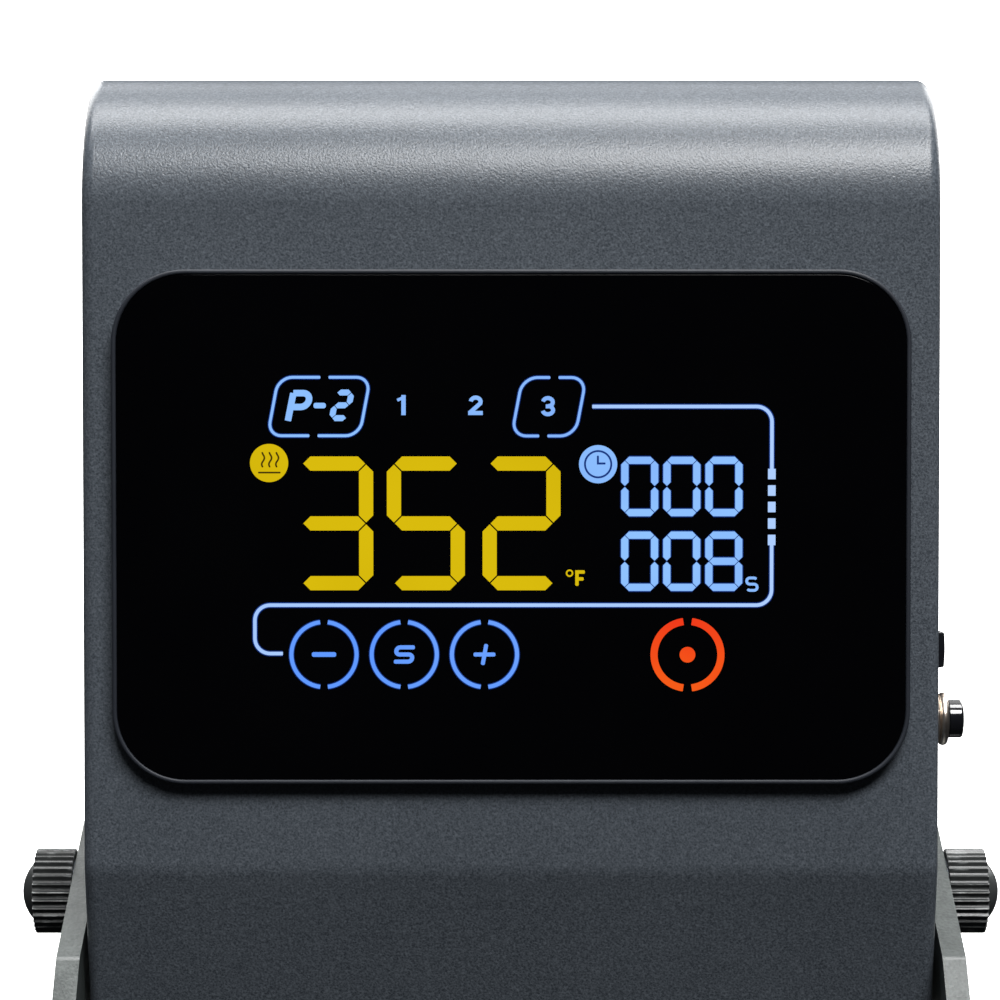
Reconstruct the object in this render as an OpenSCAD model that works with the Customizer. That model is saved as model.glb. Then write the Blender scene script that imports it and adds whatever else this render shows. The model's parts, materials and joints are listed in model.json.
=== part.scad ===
// Tilting touch control head: a rolled-top enclosure with a proud glass panel, held between the
// two cheeks of a bolted yoke by a pair of knurled clamp knobs.
// Millimetres. +Z up, front towards -Y, origin on the underside of the base plate below the tilt axis.
// Everything on the head is modelled upright about the tilt axis and leaned back by in_head().

/* [Head] */
// Width of the head across its flat sides
head_w = 180.5; // [165:0.1:220]
// Depth of the head from its face to its back
head_d = 70; // [64:1:90]
// Height of the flat face between the chin break and the start of the roll
face_h = 139.8; // [135:0.1:175]
// Radius of the rolled top edge
roll_r = 28.6; // [22:0.1:36]
// Height of the chin below the break
chin_h = 35.5; // [30:0.5:42]
// Angle by which the chin falls back from the face
chin_angle = 16; // [8:1:25]
// Radius that softens the break between face and chin
break_r = 10; // [4:1:16]
// Sheet thickness of the shell
wall = 1.5; // [1.2:0.1:2.2]
// Radius on the edges between the sides and the wrap
edge_r = 2.7; // [1:0.1:4.5]
// Radius of the upper rear corner
rear_r = 10; // [6:0.5:14]
// Radius of the two lower corners
foot_r = 6; // [4:0.5:9]
// Height of the chin break above the tilt axis
break_z = 10.2; // [4:0.1:14]
// Distance of the face in front of the tilt axis
face_y = 38; // [32:0.5:46]

/* [Display] */
// Width of the touch glass
glass_w = 165; // [135:0.5:169]
// Height of the touch glass
glass_h = 105.6; // [85:0.1:110]
// Thickness of the touch glass
glass_t = 1.9; // [1.5:0.1:2.3]
// Corner radius of the touch glass
glass_r = 14.3; // [8:0.1:20]
// Width of the bezel rim around the glass
rim_w = 1.0; // [0.8:0.1:1.4]
// Thickness of the bezel
bezel_t = 2.8; // [2.6:0.1:4]
// Width of the ledge that carries the glass
ledge_w = 4; // [3:0.5:5.5]
// Thickness of the foam gasket under the bezel
gasket_t = 0.5; // [0.3:0.1:1]
// Height of the bezel's lower edge above the chin break
bezel_lift = 18.6; // [16:0.1:24]
// Width of the liquid-crystal panel
lcd_w = 122; // [100:1:126]
// Height of the liquid-crystal panel
lcd_h = 54; // [45:1:58]
// Thickness of the liquid-crystal panel
lcd_t = 2.8; // [2:0.1:4]
// Thickness of the backlight
backlight_t = 4; // [3:0.5:5]
// Thickness of both circuit boards
board_t = 1.6; // [1:0.1:2]

/* [Side controls] */
// Height of the rocker switch's middle above the tilt axis
rocker_z = 54.2; // [50:0.1:60]
// Length of the rocker switch's bezel from front to back
rocker_h = 19; // [17:0.5:21]
// Width of the rocker switch's bezel
rocker_w = 12.4; // [11:0.1:14]
// Angle that the rocker tips each way from level
rocker_tip = 12; // [8:1:14]
// Height of the reset breaker's axis above the tilt axis
breaker_z = 40; // [36:0.5:44]
// Distance of the reset breaker's axis in front of the tilt axis
breaker_y = 16; // [15:0.5:20]
// Radius of the breaker's threaded bush
bush_r = 4.6; // [4.2:0.1:5.2]
// Radius of the breaker's ring nut
ring_nut_r = 5.75; // [5.4:0.05:6.6]
// Radius of the reset button's cap
button_r = 4.1; // [3.6:0.1:4.2]
// Travel of the reset button when it trips
button_travel = 3; // [2:0.5:4]

/* [Yoke] */
// Height of the tilt axis above the mounting surface
pivot_h = 58; // [56:0.5:72]
// Angle by which the head leans back at rest
lean = 20; // [0:1:40]
// Thickness of the cheek plates
cheek_t = 5; // [4:0.5:6]
// Width of the flanges at the foot of the cheeks
flange_w = 22; // [20:1:26]
// Length of the base plate from front to back
base_l = 124; // [116:1:150]
// Thickness of the base plate
base_t = 5; // [4:0.5:6]
// Sideways distance between the mounting holes
hole_dx = 120; // [80:1:124]
// Lengthways distance between the mounting holes
hole_dy = 90; // [60:1:96]
// Radius of the mounting holes, for M6 bolts
mount_hole_r = 3.3; // [2.7:0.05:3.5]

/* [Knobs] */
// Radius of each knob over its ridges
knob_r = 9.35; // [8.5:0.05:12]
// Length of each knob's body beyond its washer
knob_l = 7.6; // [7.2:0.1:12]
// Number of ridges round each knob
ridges = 32; // [24:1:40]
// Depth of the grooves between the ridges
ridge_d = 0.7; // [0.3:0.1:0.9]
// Height of the domed cap on each knob
dome_h = 3.1; // [1.8:0.1:3.6]
// Radius of the domed cap's foot
dome_r = 6.9; // [6:0.1:7.4]
// Radius of the clamp bolts' thread, M6
bolt_r = 3; // [2.5:0.1:3]

/* [Hidden] */
$fn = 96;

// Clearances
slip = 0.05;      // running clearance between a shaft and its bore, on the radius
face_gap = 0.05;  // gap between flat faces that slide on each other
seat_gap = 0.1;   // gap round a part that drops into a recess
fit_gap = 0.3;    // gap round a cover or a switch in its cut-out
over = 1;         // how far a cutting shape runs past the face that it cuts

// Head outline
face_plane = -face_y;
back_plane = head_d - face_y;
head_top = break_z + face_h + roll_r;
head_foot = break_z - chin_h;
inner_side = head_w/2 - wall;

// Display stack, from the face forwards and backwards
bezel_w = glass_w + 2*(rim_w + seat_gap);
bezel_h = glass_h + 2*(rim_w + seat_gap);
bezel_r = glass_r + rim_w + seat_gap;
display_z = break_z + bezel_lift + bezel_h/2;
gasket_front = face_plane - gasket_t;
bezel_front = gasket_front - bezel_t;
glass_inset = 0.1;
glass_front = bezel_front + glass_inset;
glass_back = glass_front + glass_t;
ledge_window_w = glass_w - 2*ledge_w;
ledge_window_h = glass_h - 2*ledge_w;
ledge_window_r = glass_r - ledge_w;
window_margin = 4;  // the shell's window is this much smaller all round than the bezel's
window_w = ledge_window_w - 2*window_margin;
window_h = ledge_window_h - 2*window_margin;
window_r = 8;
lcd_z = display_z + 7.8;
lcd_front = glass_back + 0.4;
lcd_back = lcd_front + lcd_t;
backlight_back = lcd_back + 0.1 + backlight_t;
board_front = backlight_back + 0.2;
board_back = board_front + board_t;
board_w = window_w + 4;
board_h = window_h + 4;
board_screw_x = board_w/2 - 5;
board_screw_z = board_h/2 - 5;
key_x = [-39.5, -22.7, -5.9, 36.8];  // the three setting keys and the power key
key_z = display_z - 26.9;
key_spring_r = 3.4;
key_spring_wire = 0.5;

// Rear cover and power board
cover_t = 1.5;
recess_x = head_w/2 - edge_r;  // the cover's recess ends where the back starts to round
cover_w = 2*(recess_x - fit_gap);
cover_foot = head_foot + foot_r;
cover_top = head_top - rear_r;
cover_h = cover_top - cover_foot;
cover_mid = (cover_top + cover_foot)/2;
lip_w = 9;
lip_back = back_plane - cover_t;
cover_screw_x = recess_x - lip_w/2;
cover_screw_z = [cover_foot + lip_w/2, cover_mid, cover_top - lip_w/2];
m3_r = 1.5;
m3_head_r = 3;
m3_head_h = 2;
m3_grip = 5;
standoff_r = 3;
power_board_w = 126;
power_board_h = 84;
power_board_z = cover_top - 14 - power_board_h/2;
power_standoff_l = 8;
power_board_back = lip_back - power_standoff_l;
power_board_front = power_board_back - board_t;
power_screw_x = power_board_w/2 - 5;
power_screw_z = power_board_h/2 - 5;
vent_w = 2.6;
vent_l = 26;
vent_pitch = 7;
vent_z = [power_board_z - 62, cover_top - 26];

// Cable gland, M16
gland_thread_r = 8;
gland_hex_r = 11.2;
gland_hex_h = 6;
gland_collar_h = 9;
gland_thread_l = 7;
gland_nut_r = 10.4;
gland_nut_l = 14;
gland_bore_r = 6.2;
cable_r = 4;
gland_seal_l = 12;
gland_z = cover_foot + lip_w + gland_hex_r + 1;  // its locknut clears the shell's lip

// Tilt clamp, outwards from the side of the head
friction_t = 1;
friction_r = 7.2;
cheek_in = head_w/2 + friction_t + face_gap;
cheek_out = cheek_in + cheek_t;
clamp_washer_in = cheek_out + face_gap;
clamp_washer_t = 1.2;
clamp_washer_r = 7.2;
knob_in = clamp_washer_in + clamp_washer_t + face_gap;
knob_skirt_in = cheek_out + fit_gap;  // the knob's skirt closes round its washer
knob_out = knob_in + knob_l;
boss_r = 7;
boss_l = 10;
bolt_hole_r = bolt_r + 0.3;
bolt_head_h = 4;
bolt_head_r = 5.6;     // over the hexagon's corners
bolt_head_in = knob_out - 0.8 - bolt_head_h;
bolt_l = bolt_head_in - (inner_side - boss_l) - 1;

// Yoke
flange_top = 2*base_t;
bend_r = cheek_t + 4;
flange_screw_x = cheek_out - 14;
flange_screw_y = base_l*0.38;
m5_r = 2.5;
m5_head_r = 4.75;
m5_head_h = 2.75;
base_corner_r = 8;

// ---- Helpers ----

// Points of an arc about c from angle a0 to a1
function arc(c, r, a0, a1, n = 14) = [for (i = [0:n]) let (a = a0 + (a1 - a0)*i/n) c + r*[cos(a), sin(a)]];

function unit(v) = v/norm(v);

// One corner of a closed outline, rounded to radius r; prev and next are its neighbours
function round_corner(prev, p, next, r) =
    let (u = unit(prev - p), v = unit(next - p), half = acos(u*v)/2, t = r/tan(half),
        c = p + unit(u + v)*r/sin(half), s = p + u*t - c, e = p + v*t - c,
        a0 = atan2(s[1], s[0]), turn = ((atan2(e[1], e[0]) - a0 + 540) % 360) - 180)
    arc(c, r, a0, a0 + turn);

// A closed outline of [point, corner radius] pairs, with its corners rounded
function rounded_outline(corners) = let (n = len(corners))
    [for (i = [0:n - 1]) each round_corner(corners[(i + n - 1) % n][0], corners[i][0],
        corners[(i + 1) % n][0], corners[i][1])];

module rounded_rect(w, h, r) {
    square([w - 2*r, h], center = true);
    square([w, h - 2*r], center = true);
    for (x = [-1, 1], y = [-1, 1]) translate([x*(w/2 - r), y*(h/2 - r)]) circle(r);
}

// A 2D shape drawn in X and Z, standing from y0 back to y1
module upright(y0, y1) {
    translate([0, y1, 0]) rotate([90, 0, 0]) linear_extrude(y1 - y0) children();
}

// A 2D shape drawn in Y and Z, extruded along X from x0 to x1
module side_extrude(x0, x1) {
    translate([x0, 0, 0]) rotate([90, 0, 90]) linear_extrude(x1 - x0) children();
}

// A cylinder along X from x0 to x1
module rod_x(x0, x1, r, y = 0, z = 0, facets = $fn) {
    translate([x0, y, z]) rotate([0, 90, 0]) cylinder(h = x1 - x0, r = r, $fn = facets);
}

// A cylinder along Y from y0 to y1
module rod_y(y0, y1, r, x = 0, z = 0, facets = $fn) {
    translate([x, y1, z]) rotate([90, 0, 0]) cylinder(h = y1 - y0, r = r, $fn = facets);
}

module block(x0, x1, y0, y1, z0, z1) {
    translate([x0, y0, z0]) cube([x1 - x0, y1 - y0, z1 - z0]);
}

// Puts a piece of the head, drawn upright about the tilt axis, in its place on the yoke
module in_head() {
    translate([0, 0, pivot_h]) rotate([-lean, 0, 0]) children();
}

module mirrored(side) {
    if (side > 0) children(); else mirror([1, 0, 0]) children();
}

// ---- Yoke ----

// Side outline of a cheek: its top rises steeply to a crease, then gently to the rear shoulder
function cheek_outline() = let (f = -base_l/2, b = base_l/2, crease = [-37, pivot_h + 4.3], shoulder_y = 24)
    rounded_outline([[[f, base_t], 1], [[f, crease[1] + (f - crease[0])*tan(30)], 12], [crease, 4],
        [[shoulder_y, crease[1] + (shoulder_y - crease[0])*tan(5)], 16], [[b, base_t + 10], 8],
        [[b, base_t], 1]]);

module angle_section() {
    translate([cheek_in, base_t + bend_r]) square([cheek_t, pivot_h + 40]);
    translate([cheek_out - flange_w, base_t]) square([flange_w - bend_r, cheek_t]);
    translate([cheek_out - bend_r, base_t + bend_r]) difference() {
        circle(bend_r);
        circle(bend_r - cheek_t);
        translate([-bend_r - over, -bend_r - over]) square([bend_r + over, 2*(bend_r + over)]);
        translate([-bend_r - over, 0]) square([2*(bend_r + over), bend_r + over]);
    }
}

module cheek(side) {
    mirrored(side) difference() {
        intersection() {
            upright(-base_l/2, base_l/2) angle_section();
            side_extrude(cheek_out - flange_w - over, cheek_out + over) polygon(cheek_outline());
        }
        translate([0, 0, pivot_h]) rod_x(cheek_in - over, cheek_out + over, bolt_hole_r);
        for (y = [-1, 0, 1]) translate([flange_screw_x, y*flange_screw_y, base_t - over])
            cylinder(h = cheek_t + 2*over, r = m5_r + 0.25);
    }
}

module base_plate() {
    color("dimgray") difference() {
        linear_extrude(base_t) rounded_rect(2*cheek_out, base_l, base_corner_r);
        for (x = [-1, 1], y = [-1, 1]) translate([x*hole_dx/2, y*hole_dy/2, -over])
            cylinder(h = base_t + 2*over, r = mount_hole_r);
        for (x = [-1, 1], y = [-1, 0, 1]) translate([x*flange_screw_x, y*flange_screw_y, -over])
            cylinder(h = base_t + 2*over, r = m5_r + slip);
    }
}

module left_cheek() { color("dimgray") cheek(-1); }
module right_cheek() { color("dimgray") cheek(1); }

module cheek_screws() {
    top = base_t + cheek_t;
    color("black") for (x = [-1, 1], y = [-1, 0, 1]) translate([x*flange_screw_x, y*flange_screw_y, 0]) {
        translate([0, 0, 0.5]) cylinder(h = top, r = m5_r);
        difference() {
            translate([0, 0, top]) cylinder(h = m5_head_h, r1 = m5_head_r, r2 = m5_head_r - 1.4);
            translate([0, 0, top + 1.2]) cylinder(h = m5_head_h, r = 1.73, $fn = 6);
        }
    }
}

// ---- Head shell ----

// Side outline of the head, shrunk inwards by inset: each row is a corner's centre, radius and angles
module head_profile(inset = 0) {
    toe_z = head_foot + foot_r;
    toe_y = face_plane + (foot_r + (break_z - toe_z)*sin(chin_angle))/cos(chin_angle);
    corners = [[[face_plane + break_r, break_z + break_r*tan(chin_angle/2)], break_r, 180 + chin_angle, 180, 6],
        [[face_plane + roll_r, head_top - roll_r], roll_r, 180, 90, 24],
        [[back_plane - rear_r, head_top - rear_r], rear_r, 90, 0, 16],
        [[back_plane - foot_r, head_foot + foot_r], foot_r, 0, -90, 12],
        [[toe_y, toe_z], foot_r, -90, -180 + chin_angle, 10]];
    polygon([for (c = corners) each arc(c[0], c[1] - inset, c[2], c[3], c[4])]);
}

module head_solid() {
    mid_y = (face_plane + back_plane)/2;
    mid_z = (head_top + head_foot)/2;
    intersection() {
        side_extrude(-head_w/2, head_w/2) head_profile();
        translate([0, mid_y, head_foot - over]) linear_extrude(head_top - head_foot + 2*over)
            rounded_rect(head_w, head_d, edge_r);
        upright(face_plane - over, back_plane + over) translate([0, mid_z])
            rounded_rect(head_w, head_top - head_foot, edge_r);
    }
}

module front_shell() {
    lip_front = lip_back - wall;
    color("slategray") in_head() difference() {
        head_solid();
        // hollow
        intersection() {
            side_extrude(-inner_side, inner_side) head_profile(wall);
            block(-head_w, head_w, face_plane, lip_front, head_foot, head_top);
        }
        // rear recess for the cover, and the opening inside its lip
        block(-recess_x, recess_x, lip_back, back_plane + over, cover_foot - fit_gap, cover_top + fit_gap);
        block(-recess_x + lip_w, recess_x - lip_w, lip_front - over, back_plane + over,
            cover_foot + lip_w, cover_top - lip_w);
        // window behind the glass
        upright(face_plane - over, face_plane + wall + over) translate([0, display_z])
            rounded_rect(window_w, window_h, window_r);
        // clamp bolts
        for (side = [-1, 1]) rod_x(side*head_w/2 - wall - over, side*head_w/2 + wall + over, bolt_hole_r);
        // breaker and rocker switch
        rod_x(inner_side - over, head_w/2 + over, bush_r + 0.15, -breaker_y, breaker_z);
        block(inner_side - over, head_w/2 + over, -rocker_h/2 + 1, rocker_h/2 - 1,
            rocker_z - rocker_w/2 + 1, rocker_z + rocker_w/2 - 1);
        // tapped holes in the lip
        for (x = [-1, 1], z = cover_screw_z)
            rod_y(lip_front - over, lip_back + over, m3_r + slip, x*cover_screw_x, z);
    }
}

module rear_cover() {
    color("slategray") in_head() difference() {
        upright(lip_back, back_plane) translate([0, cover_mid]) rounded_rect(cover_w, cover_h, 2);
        for (x = [-1, 1], z = cover_screw_z)
            rod_y(lip_back - over, back_plane + over, m3_r + 0.2, x*cover_screw_x, z);
        for (x = [-1, 1], z = [-1, 1]) rod_y(lip_back - over, back_plane + over, m3_r + 0.2,
            x*power_screw_x, power_board_z + z*power_screw_z);
        rod_y(lip_back - over, back_plane + over, gland_thread_r + 0.1, 0, gland_z);
        for (z = vent_z, i = [-4:4]) upright(lip_back - over, back_plane + over)
            translate([i*vent_pitch, z]) rounded_rect(vent_w, vent_l, vent_w/2 - 0.01);
    }
}

module screw_from_back(x, z, head_y, grip) {
    rod_y(head_y - grip, head_y, m3_r, x, z);
    difference() {
        rod_y(head_y, head_y + m3_head_h, m3_head_r, x, z);
        translate([x, head_y + m3_head_h/2 + over, z]) cube([0.8, 2*over, 3.6], center = true);
        translate([x, head_y + m3_head_h/2 + over, z]) cube([3.6, 2*over, 0.8], center = true);
    }
}

module rear_cover_screws() {
    color("silver") in_head() for (x = [-1, 1], z = cover_screw_z)
        screw_from_back(x*cover_screw_x, z, back_plane, m3_grip);
}

// ---- Tilt clamp ----

module pivot_boss(side) {
    color("silver") in_head() mirrored(side) difference() {
        rod_x(inner_side - boss_l, inner_side, boss_r);
        rod_x(inner_side - boss_l - over, inner_side + over, bolt_r + slip);
    }
}

module pivot_boss_left() { pivot_boss(-1); }
module pivot_boss_right() { pivot_boss(1); }

module ring_x(x0, x1, r_out, r_in) {
    difference() {
        rod_x(x0, x1, r_out);
        rod_x(x0 - over, x1 + over, r_in);
    }
}

module friction_washer(side) {
    color("black") in_head() mirrored(side)
        ring_x(head_w/2, head_w/2 + friction_t, friction_r, bolt_hole_r);
}

module friction_washer_left() { friction_washer(-1); }
module friction_washer_right() { friction_washer(1); }

module clamp_washer(side) {
    color("silver") in_head() mirrored(side)
        ring_x(clamp_washer_in, clamp_washer_in + clamp_washer_t, clamp_washer_r, bolt_r + 0.2);
}

module clamp_washer_left() { clamp_washer(-1); }
module clamp_washer_right() { clamp_washer(1); }

// Four points round each ridge of the knurl: root, crest, crest, root
function knurl_outline() = [for (i = [0:ridges - 1], k = [[0.06, 1], [0.3, 0], [0.7, 0], [0.94, 1]])
    let (a = 360*(i + k[0])/ridges, r = knob_r - k[1]*ridge_d) r*[cos(a), sin(a)]];

module knob(side) {
    color("black") in_head() mirrored(side) difference() {
        translate([knob_skirt_in, 0, 0]) rotate([0, 90, 0]) linear_extrude(knob_out - knob_skirt_in)
            polygon(knurl_outline());
        rod_x(knob_skirt_in - over, knob_in, clamp_washer_r + seat_gap);
        rod_x(knob_in - over, knob_out, bolt_r + slip);
        rod_x(bolt_head_in, knob_out + over, bolt_head_r + seat_gap, facets = 6);
    }
}

module knob_left() { knob(-1); }
module knob_right() { knob(1); }

module knob_cap(side) {
    ball_r = (dome_r*dome_r + dome_h*dome_h)/(2*dome_h);
    color("black") in_head() mirrored(side) {
        rod_x(bolt_head_in + bolt_head_h + 0.1, knob_out, bolt_head_r*cos(30) - 0.2);
        intersection() {
            translate([knob_out + dome_h - ball_r, 0, 0]) rotate([0, 90, 0]) sphere(ball_r);
            rod_x(knob_out, knob_out + dome_h + over, dome_r + over);
        }
    }
}

module knob_cap_left() { knob_cap(-1); }
module knob_cap_right() { knob_cap(1); }

module clamp_bolt(side) {
    color("silver") in_head() mirrored(side) {
        rod_x(bolt_head_in - bolt_l, bolt_head_in, bolt_r);
        rod_x(bolt_head_in, bolt_head_in + bolt_head_h, bolt_head_r, facets = 6);
    }
}

module clamp_bolt_left() { clamp_bolt(-1); }
module clamp_bolt_right() { clamp_bolt(1); }

// ---- Display ----

module display_bezel() {
    color("black") in_head() difference() {
        upright(bezel_front, gasket_front) translate([0, display_z]) rounded_rect(bezel_w, bezel_h, bezel_r);
        upright(bezel_front - over, glass_back) translate([0, display_z])
            rounded_rect(glass_w + 2*seat_gap, glass_h + 2*seat_gap, glass_r + seat_gap);
        upright(bezel_front, gasket_front + over) translate([0, display_z])
            rounded_rect(ledge_window_w, ledge_window_h, ledge_window_r);
    }
}

module bezel_gasket() {
    inset = 1.5;
    color("darkslategray") in_head() difference() {
        upright(gasket_front, face_plane) translate([0, display_z])
            rounded_rect(bezel_w - 2*inset, bezel_h - 2*inset, bezel_r - inset);
        upright(gasket_front - over, face_plane + over) translate([0, display_z])
            rounded_rect(ledge_window_w, ledge_window_h, ledge_window_r);
    }
}

module touch_glass() {
    color("black") in_head() upright(glass_front, glass_back) translate([0, display_z])
        rounded_rect(glass_w, glass_h, glass_r);
}

module lcd_panel() {
    color("darkslateblue") in_head()
        block(-lcd_w/2, lcd_w/2, lcd_front, lcd_back, lcd_z - lcd_h/2, lcd_z + lcd_h/2);
}

module backlight() {
    color("white") in_head() block(-lcd_w/2 + 2, lcd_w/2 - 2, lcd_back + 0.1, backlight_back,
        lcd_z - lcd_h/2 + 2, lcd_z + lcd_h/2 - 2);
}

// Each key's spring: a washer on the board, three rings and a pad that presses on the glass
module touch_springs() {
    color("gold") in_head() for (x = key_x) translate([x, 0, key_z]) {
        rod_y(board_front - 0.6, board_front, key_spring_r);
        rod_y(glass_back + 0.6, board_front - 0.6, key_spring_r - 1.4);
        rod_y(glass_back, glass_back + 0.6, key_spring_r);
        for (k = [1:3]) let (y = glass_back + 0.6 + k*(board_front - glass_back - 1.2)/4)
            rod_y(y - key_spring_wire, y + key_spring_wire, key_spring_r);
    }
}

module display_board() {
    color("darkgreen") in_head() difference() {
        upright(board_front, board_back) translate([0, display_z]) rounded_rect(board_w, board_h, 2);
        for (x = [-1, 1], z = [-1, 1]) rod_y(board_front - over, board_back + over, m3_r + 0.15,
            x*board_screw_x, display_z + z*board_screw_z);
    }
}

// The board is screwed to posts that stand on straps behind the shell's window
module display_board_standoffs() {
    color("silver") in_head() for (x = [-1, 1], z = [-1, 1]) difference() {
        union() {
            rod_y(face_plane + wall, board_front, standoff_r, x*board_screw_x, display_z + z*board_screw_z);
            block(x*board_screw_x - 3, x*board_screw_x + 3, face_plane + wall, face_plane + wall + 1,
                display_z + z*(board_screw_z + 5.5) - 5.5, display_z + z*(board_screw_z + 5.5) + 5.5);
        }
        rod_y(face_plane + wall - over, board_front + over, m3_r + slip, x*board_screw_x,
            display_z + z*board_screw_z);
    }
}

module display_board_screws() {
    color("silver") in_head() for (x = [-1, 1], z = [-1, 1])
        screw_from_back(x*board_screw_x, display_z + z*board_screw_z, board_back, 5);
}

// ---- Power electronics ----

ribbon_w = 20;
ribbon_t = 0.8;
ribbon_x = -8;
ribbon_high = power_board_z + 30;
ribbon_low = power_board_z + 14;
socket_l = 6;

module ribbon_cable() {
    y0 = board_back + socket_l;
    y1 = power_board_front - socket_l;
    mid = (y0 + y1)/2;
    color("lightgray") in_head() {
        block(ribbon_x - ribbon_w/2, ribbon_x + ribbon_w/2, y0, mid + ribbon_t, ribbon_high, ribbon_high + ribbon_t);
        block(ribbon_x - ribbon_w/2, ribbon_x + ribbon_w/2, mid, mid + ribbon_t, ribbon_low, ribbon_high + ribbon_t);
        block(ribbon_x - ribbon_w/2, ribbon_x + ribbon_w/2, mid, y1, ribbon_low, ribbon_low + ribbon_t);
    }
}

module ribbon_sockets() {
    color("ivory") in_head() {
        block(ribbon_x - ribbon_w/2 - 2, ribbon_x + ribbon_w/2 + 2, board_back, board_back + socket_l,
            ribbon_high - 2.5, ribbon_high + 3.3);
        block(ribbon_x - ribbon_w/2 - 2, ribbon_x + ribbon_w/2 + 2, power_board_front - socket_l,
            power_board_front, ribbon_low - 2.5, ribbon_low + 3.3);
    }
}

module power_board() {
    color("darkgreen") in_head() difference() {
        upright(power_board_front, power_board_back) translate([0, power_board_z])
            rounded_rect(power_board_w, power_board_h, 2);
        for (x = [-1, 1], z = [-1, 1]) rod_y(power_board_front - over, power_board_back + over, m3_r + 0.15,
            x*power_screw_x, power_board_z + z*power_screw_z);
    }
}

module power_board_standoffs() {
    color("silver") in_head() for (x = [-1, 1], z = [-1, 1]) difference() {
        rod_y(power_board_back, lip_back, standoff_r, x*power_screw_x, power_board_z + z*power_screw_z);
        rod_y(power_board_back - over, lip_back + over, m3_r + slip, x*power_screw_x,
            power_board_z + z*power_screw_z);
    }
}

// Screws through the cover and the standoffs, and the nuts that hold the board on them
module power_board_screws() {
    grip = cover_t + power_standoff_l + board_t + 2.6;
    color("silver") in_head() for (x = [-1, 1], z = [-1, 1]) {
        screw_from_back(x*power_screw_x, power_board_z + z*power_screw_z, back_plane, grip);
        rod_y(power_board_front - 2.4, power_board_front, 3.1, x*power_screw_x,
            power_board_z + z*power_screw_z, 6);
    }
}

transformer_x = -39;
transformer_w = 42;
transformer_h = 35;
transformer_d = 16;
leg_w = 12;
limb_w = 6;
coil_d = 30;

module transformer_core() {
    y1 = power_board_front - (coil_d - transformer_d)/2;
    window = (transformer_w - leg_w - 2*limb_w)/2;
    color("gray") in_head() translate([transformer_x, 0, power_board_z]) difference() {
        block(-transformer_w/2, transformer_w/2, y1 - transformer_d, y1, -transformer_h/2, transformer_h/2);
        for (x = [-1, 1]) translate([x*(leg_w + window)/2, y1 - transformer_d/2, 0])
            cube([window, transformer_d + 2*over, transformer_h - 2*limb_w], center = true);
    }
}

module transformer_coil() {
    y1 = power_board_front;
    window = (transformer_w - leg_w - 2*limb_w)/2;
    height = transformer_h - 2*limb_w - 0.4;
    color("goldenrod") in_head() translate([transformer_x, y1 - coil_d/2, power_board_z]) difference() {
        cube([leg_w + 2*window - 0.4, coil_d, height], center = true);
        cube([leg_w + 0.2, transformer_d + 0.2, height + 2*over], center = true);
    }
}

module heater_relay() {
    color("royalblue") in_head() block(14, 43, power_board_front - 16, power_board_front,
        power_board_z + 10, power_board_z + 23);
}

module terminal_block() {
    ways = 5;
    pitch = 9;
    color("seagreen") in_head() translate([24, 0, power_board_z - 26]) difference() {
        block(-ways*pitch/2, ways*pitch/2, power_board_front - 14, power_board_front, -7, 7);
        for (i = [0:ways - 1]) {
            rod_y(power_board_front - 14 - over, power_board_front - 8, 2.4, (i - (ways - 1)/2)*pitch, 1.5);
            translate([(i - (ways - 1)/2)*pitch, power_board_front - 6, -7]) cube([5, 5, 10], center = true);
        }
    }
}

module capacitors() {
    color("navy") in_head() for (c = [[52, 16, 5, 16], [52, 4, 4, 12], [4, -4, 4, 12]])
        rod_y(power_board_front - c[3], power_board_front, c[2], c[0], power_board_z + c[1]);
}

module buzzer() {
    x = 46;
    z = display_z + 18;
    color("black") in_head() difference() {
        rod_y(board_back, board_back + 9.5, 6, x, z);
        rod_y(board_back + 6, board_back + 9.5 + over, 1.2, x, z);
    }
}

// ---- Cable gland ----

module cable_gland_body() {
    y1 = back_plane + gland_hex_h;
    color("black") in_head() translate([0, 0, gland_z]) difference() {
        union() {
            rod_y(lip_back - gland_thread_l, back_plane, gland_thread_r);
            rod_y(back_plane, y1, gland_hex_r, facets = 6);
            rod_y(y1, y1 + gland_collar_h, gland_thread_r);
        }
        rod_y(lip_back - gland_thread_l - over, y1 + gland_collar_h + over, gland_bore_r);
    }
}

module cable_gland_seal() {
    y1 = back_plane + gland_hex_h + gland_collar_h;
    color("dimgray") in_head() translate([0, 0, gland_z]) difference() {
        rod_y(y1 - gland_seal_l, y1, gland_bore_r - slip);
        rod_y(y1 - gland_seal_l - over, y1 + over, cable_r);
    }
}

module cable_gland_nut() {
    y0 = back_plane + gland_hex_h + 0.4;
    y1 = y0 + gland_nut_l;
    color("black") in_head() translate([0, 0, gland_z]) difference() {
        union() {
            rod_y(y0, y1 - 4, gland_nut_r, facets = 12);
            translate([0, y1 - 4, 0]) rotate([-90, 0, 0]) cylinder(h = 4, r1 = gland_nut_r - 0.8, r2 = 7);
        }
        rod_y(y0 - over, y0 + gland_collar_h, gland_thread_r + slip);
        rod_y(y0, y1 + over, cable_r + 1);
    }
}

module cable_gland_locknut() {
    color("black") in_head() translate([0, 0, gland_z]) difference() {
        rod_y(lip_back - 4, lip_back, gland_hex_r, facets = 6);
        rod_y(lip_back - 4 - over, lip_back + over, gland_thread_r + slip);
    }
}

// ---- Side controls ----

rocker_bezel_h = 2;
rocker_body_l = 18;
rocker_pivot_x = head_w/2 - 1.5;
rocker_l = rocker_h - 3.4;
rocker_t = rocker_w - 4.4;
rocker_gap = 0.2;     // gap on each side of the rocker
rocker_pin_r = 1.2;
rocker_pin_l = 0.6;   // how far each pin reaches into the switch body's wall

module at_rocker() {
    in_head() translate([0, 0, rocker_z]) children();
}

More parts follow.
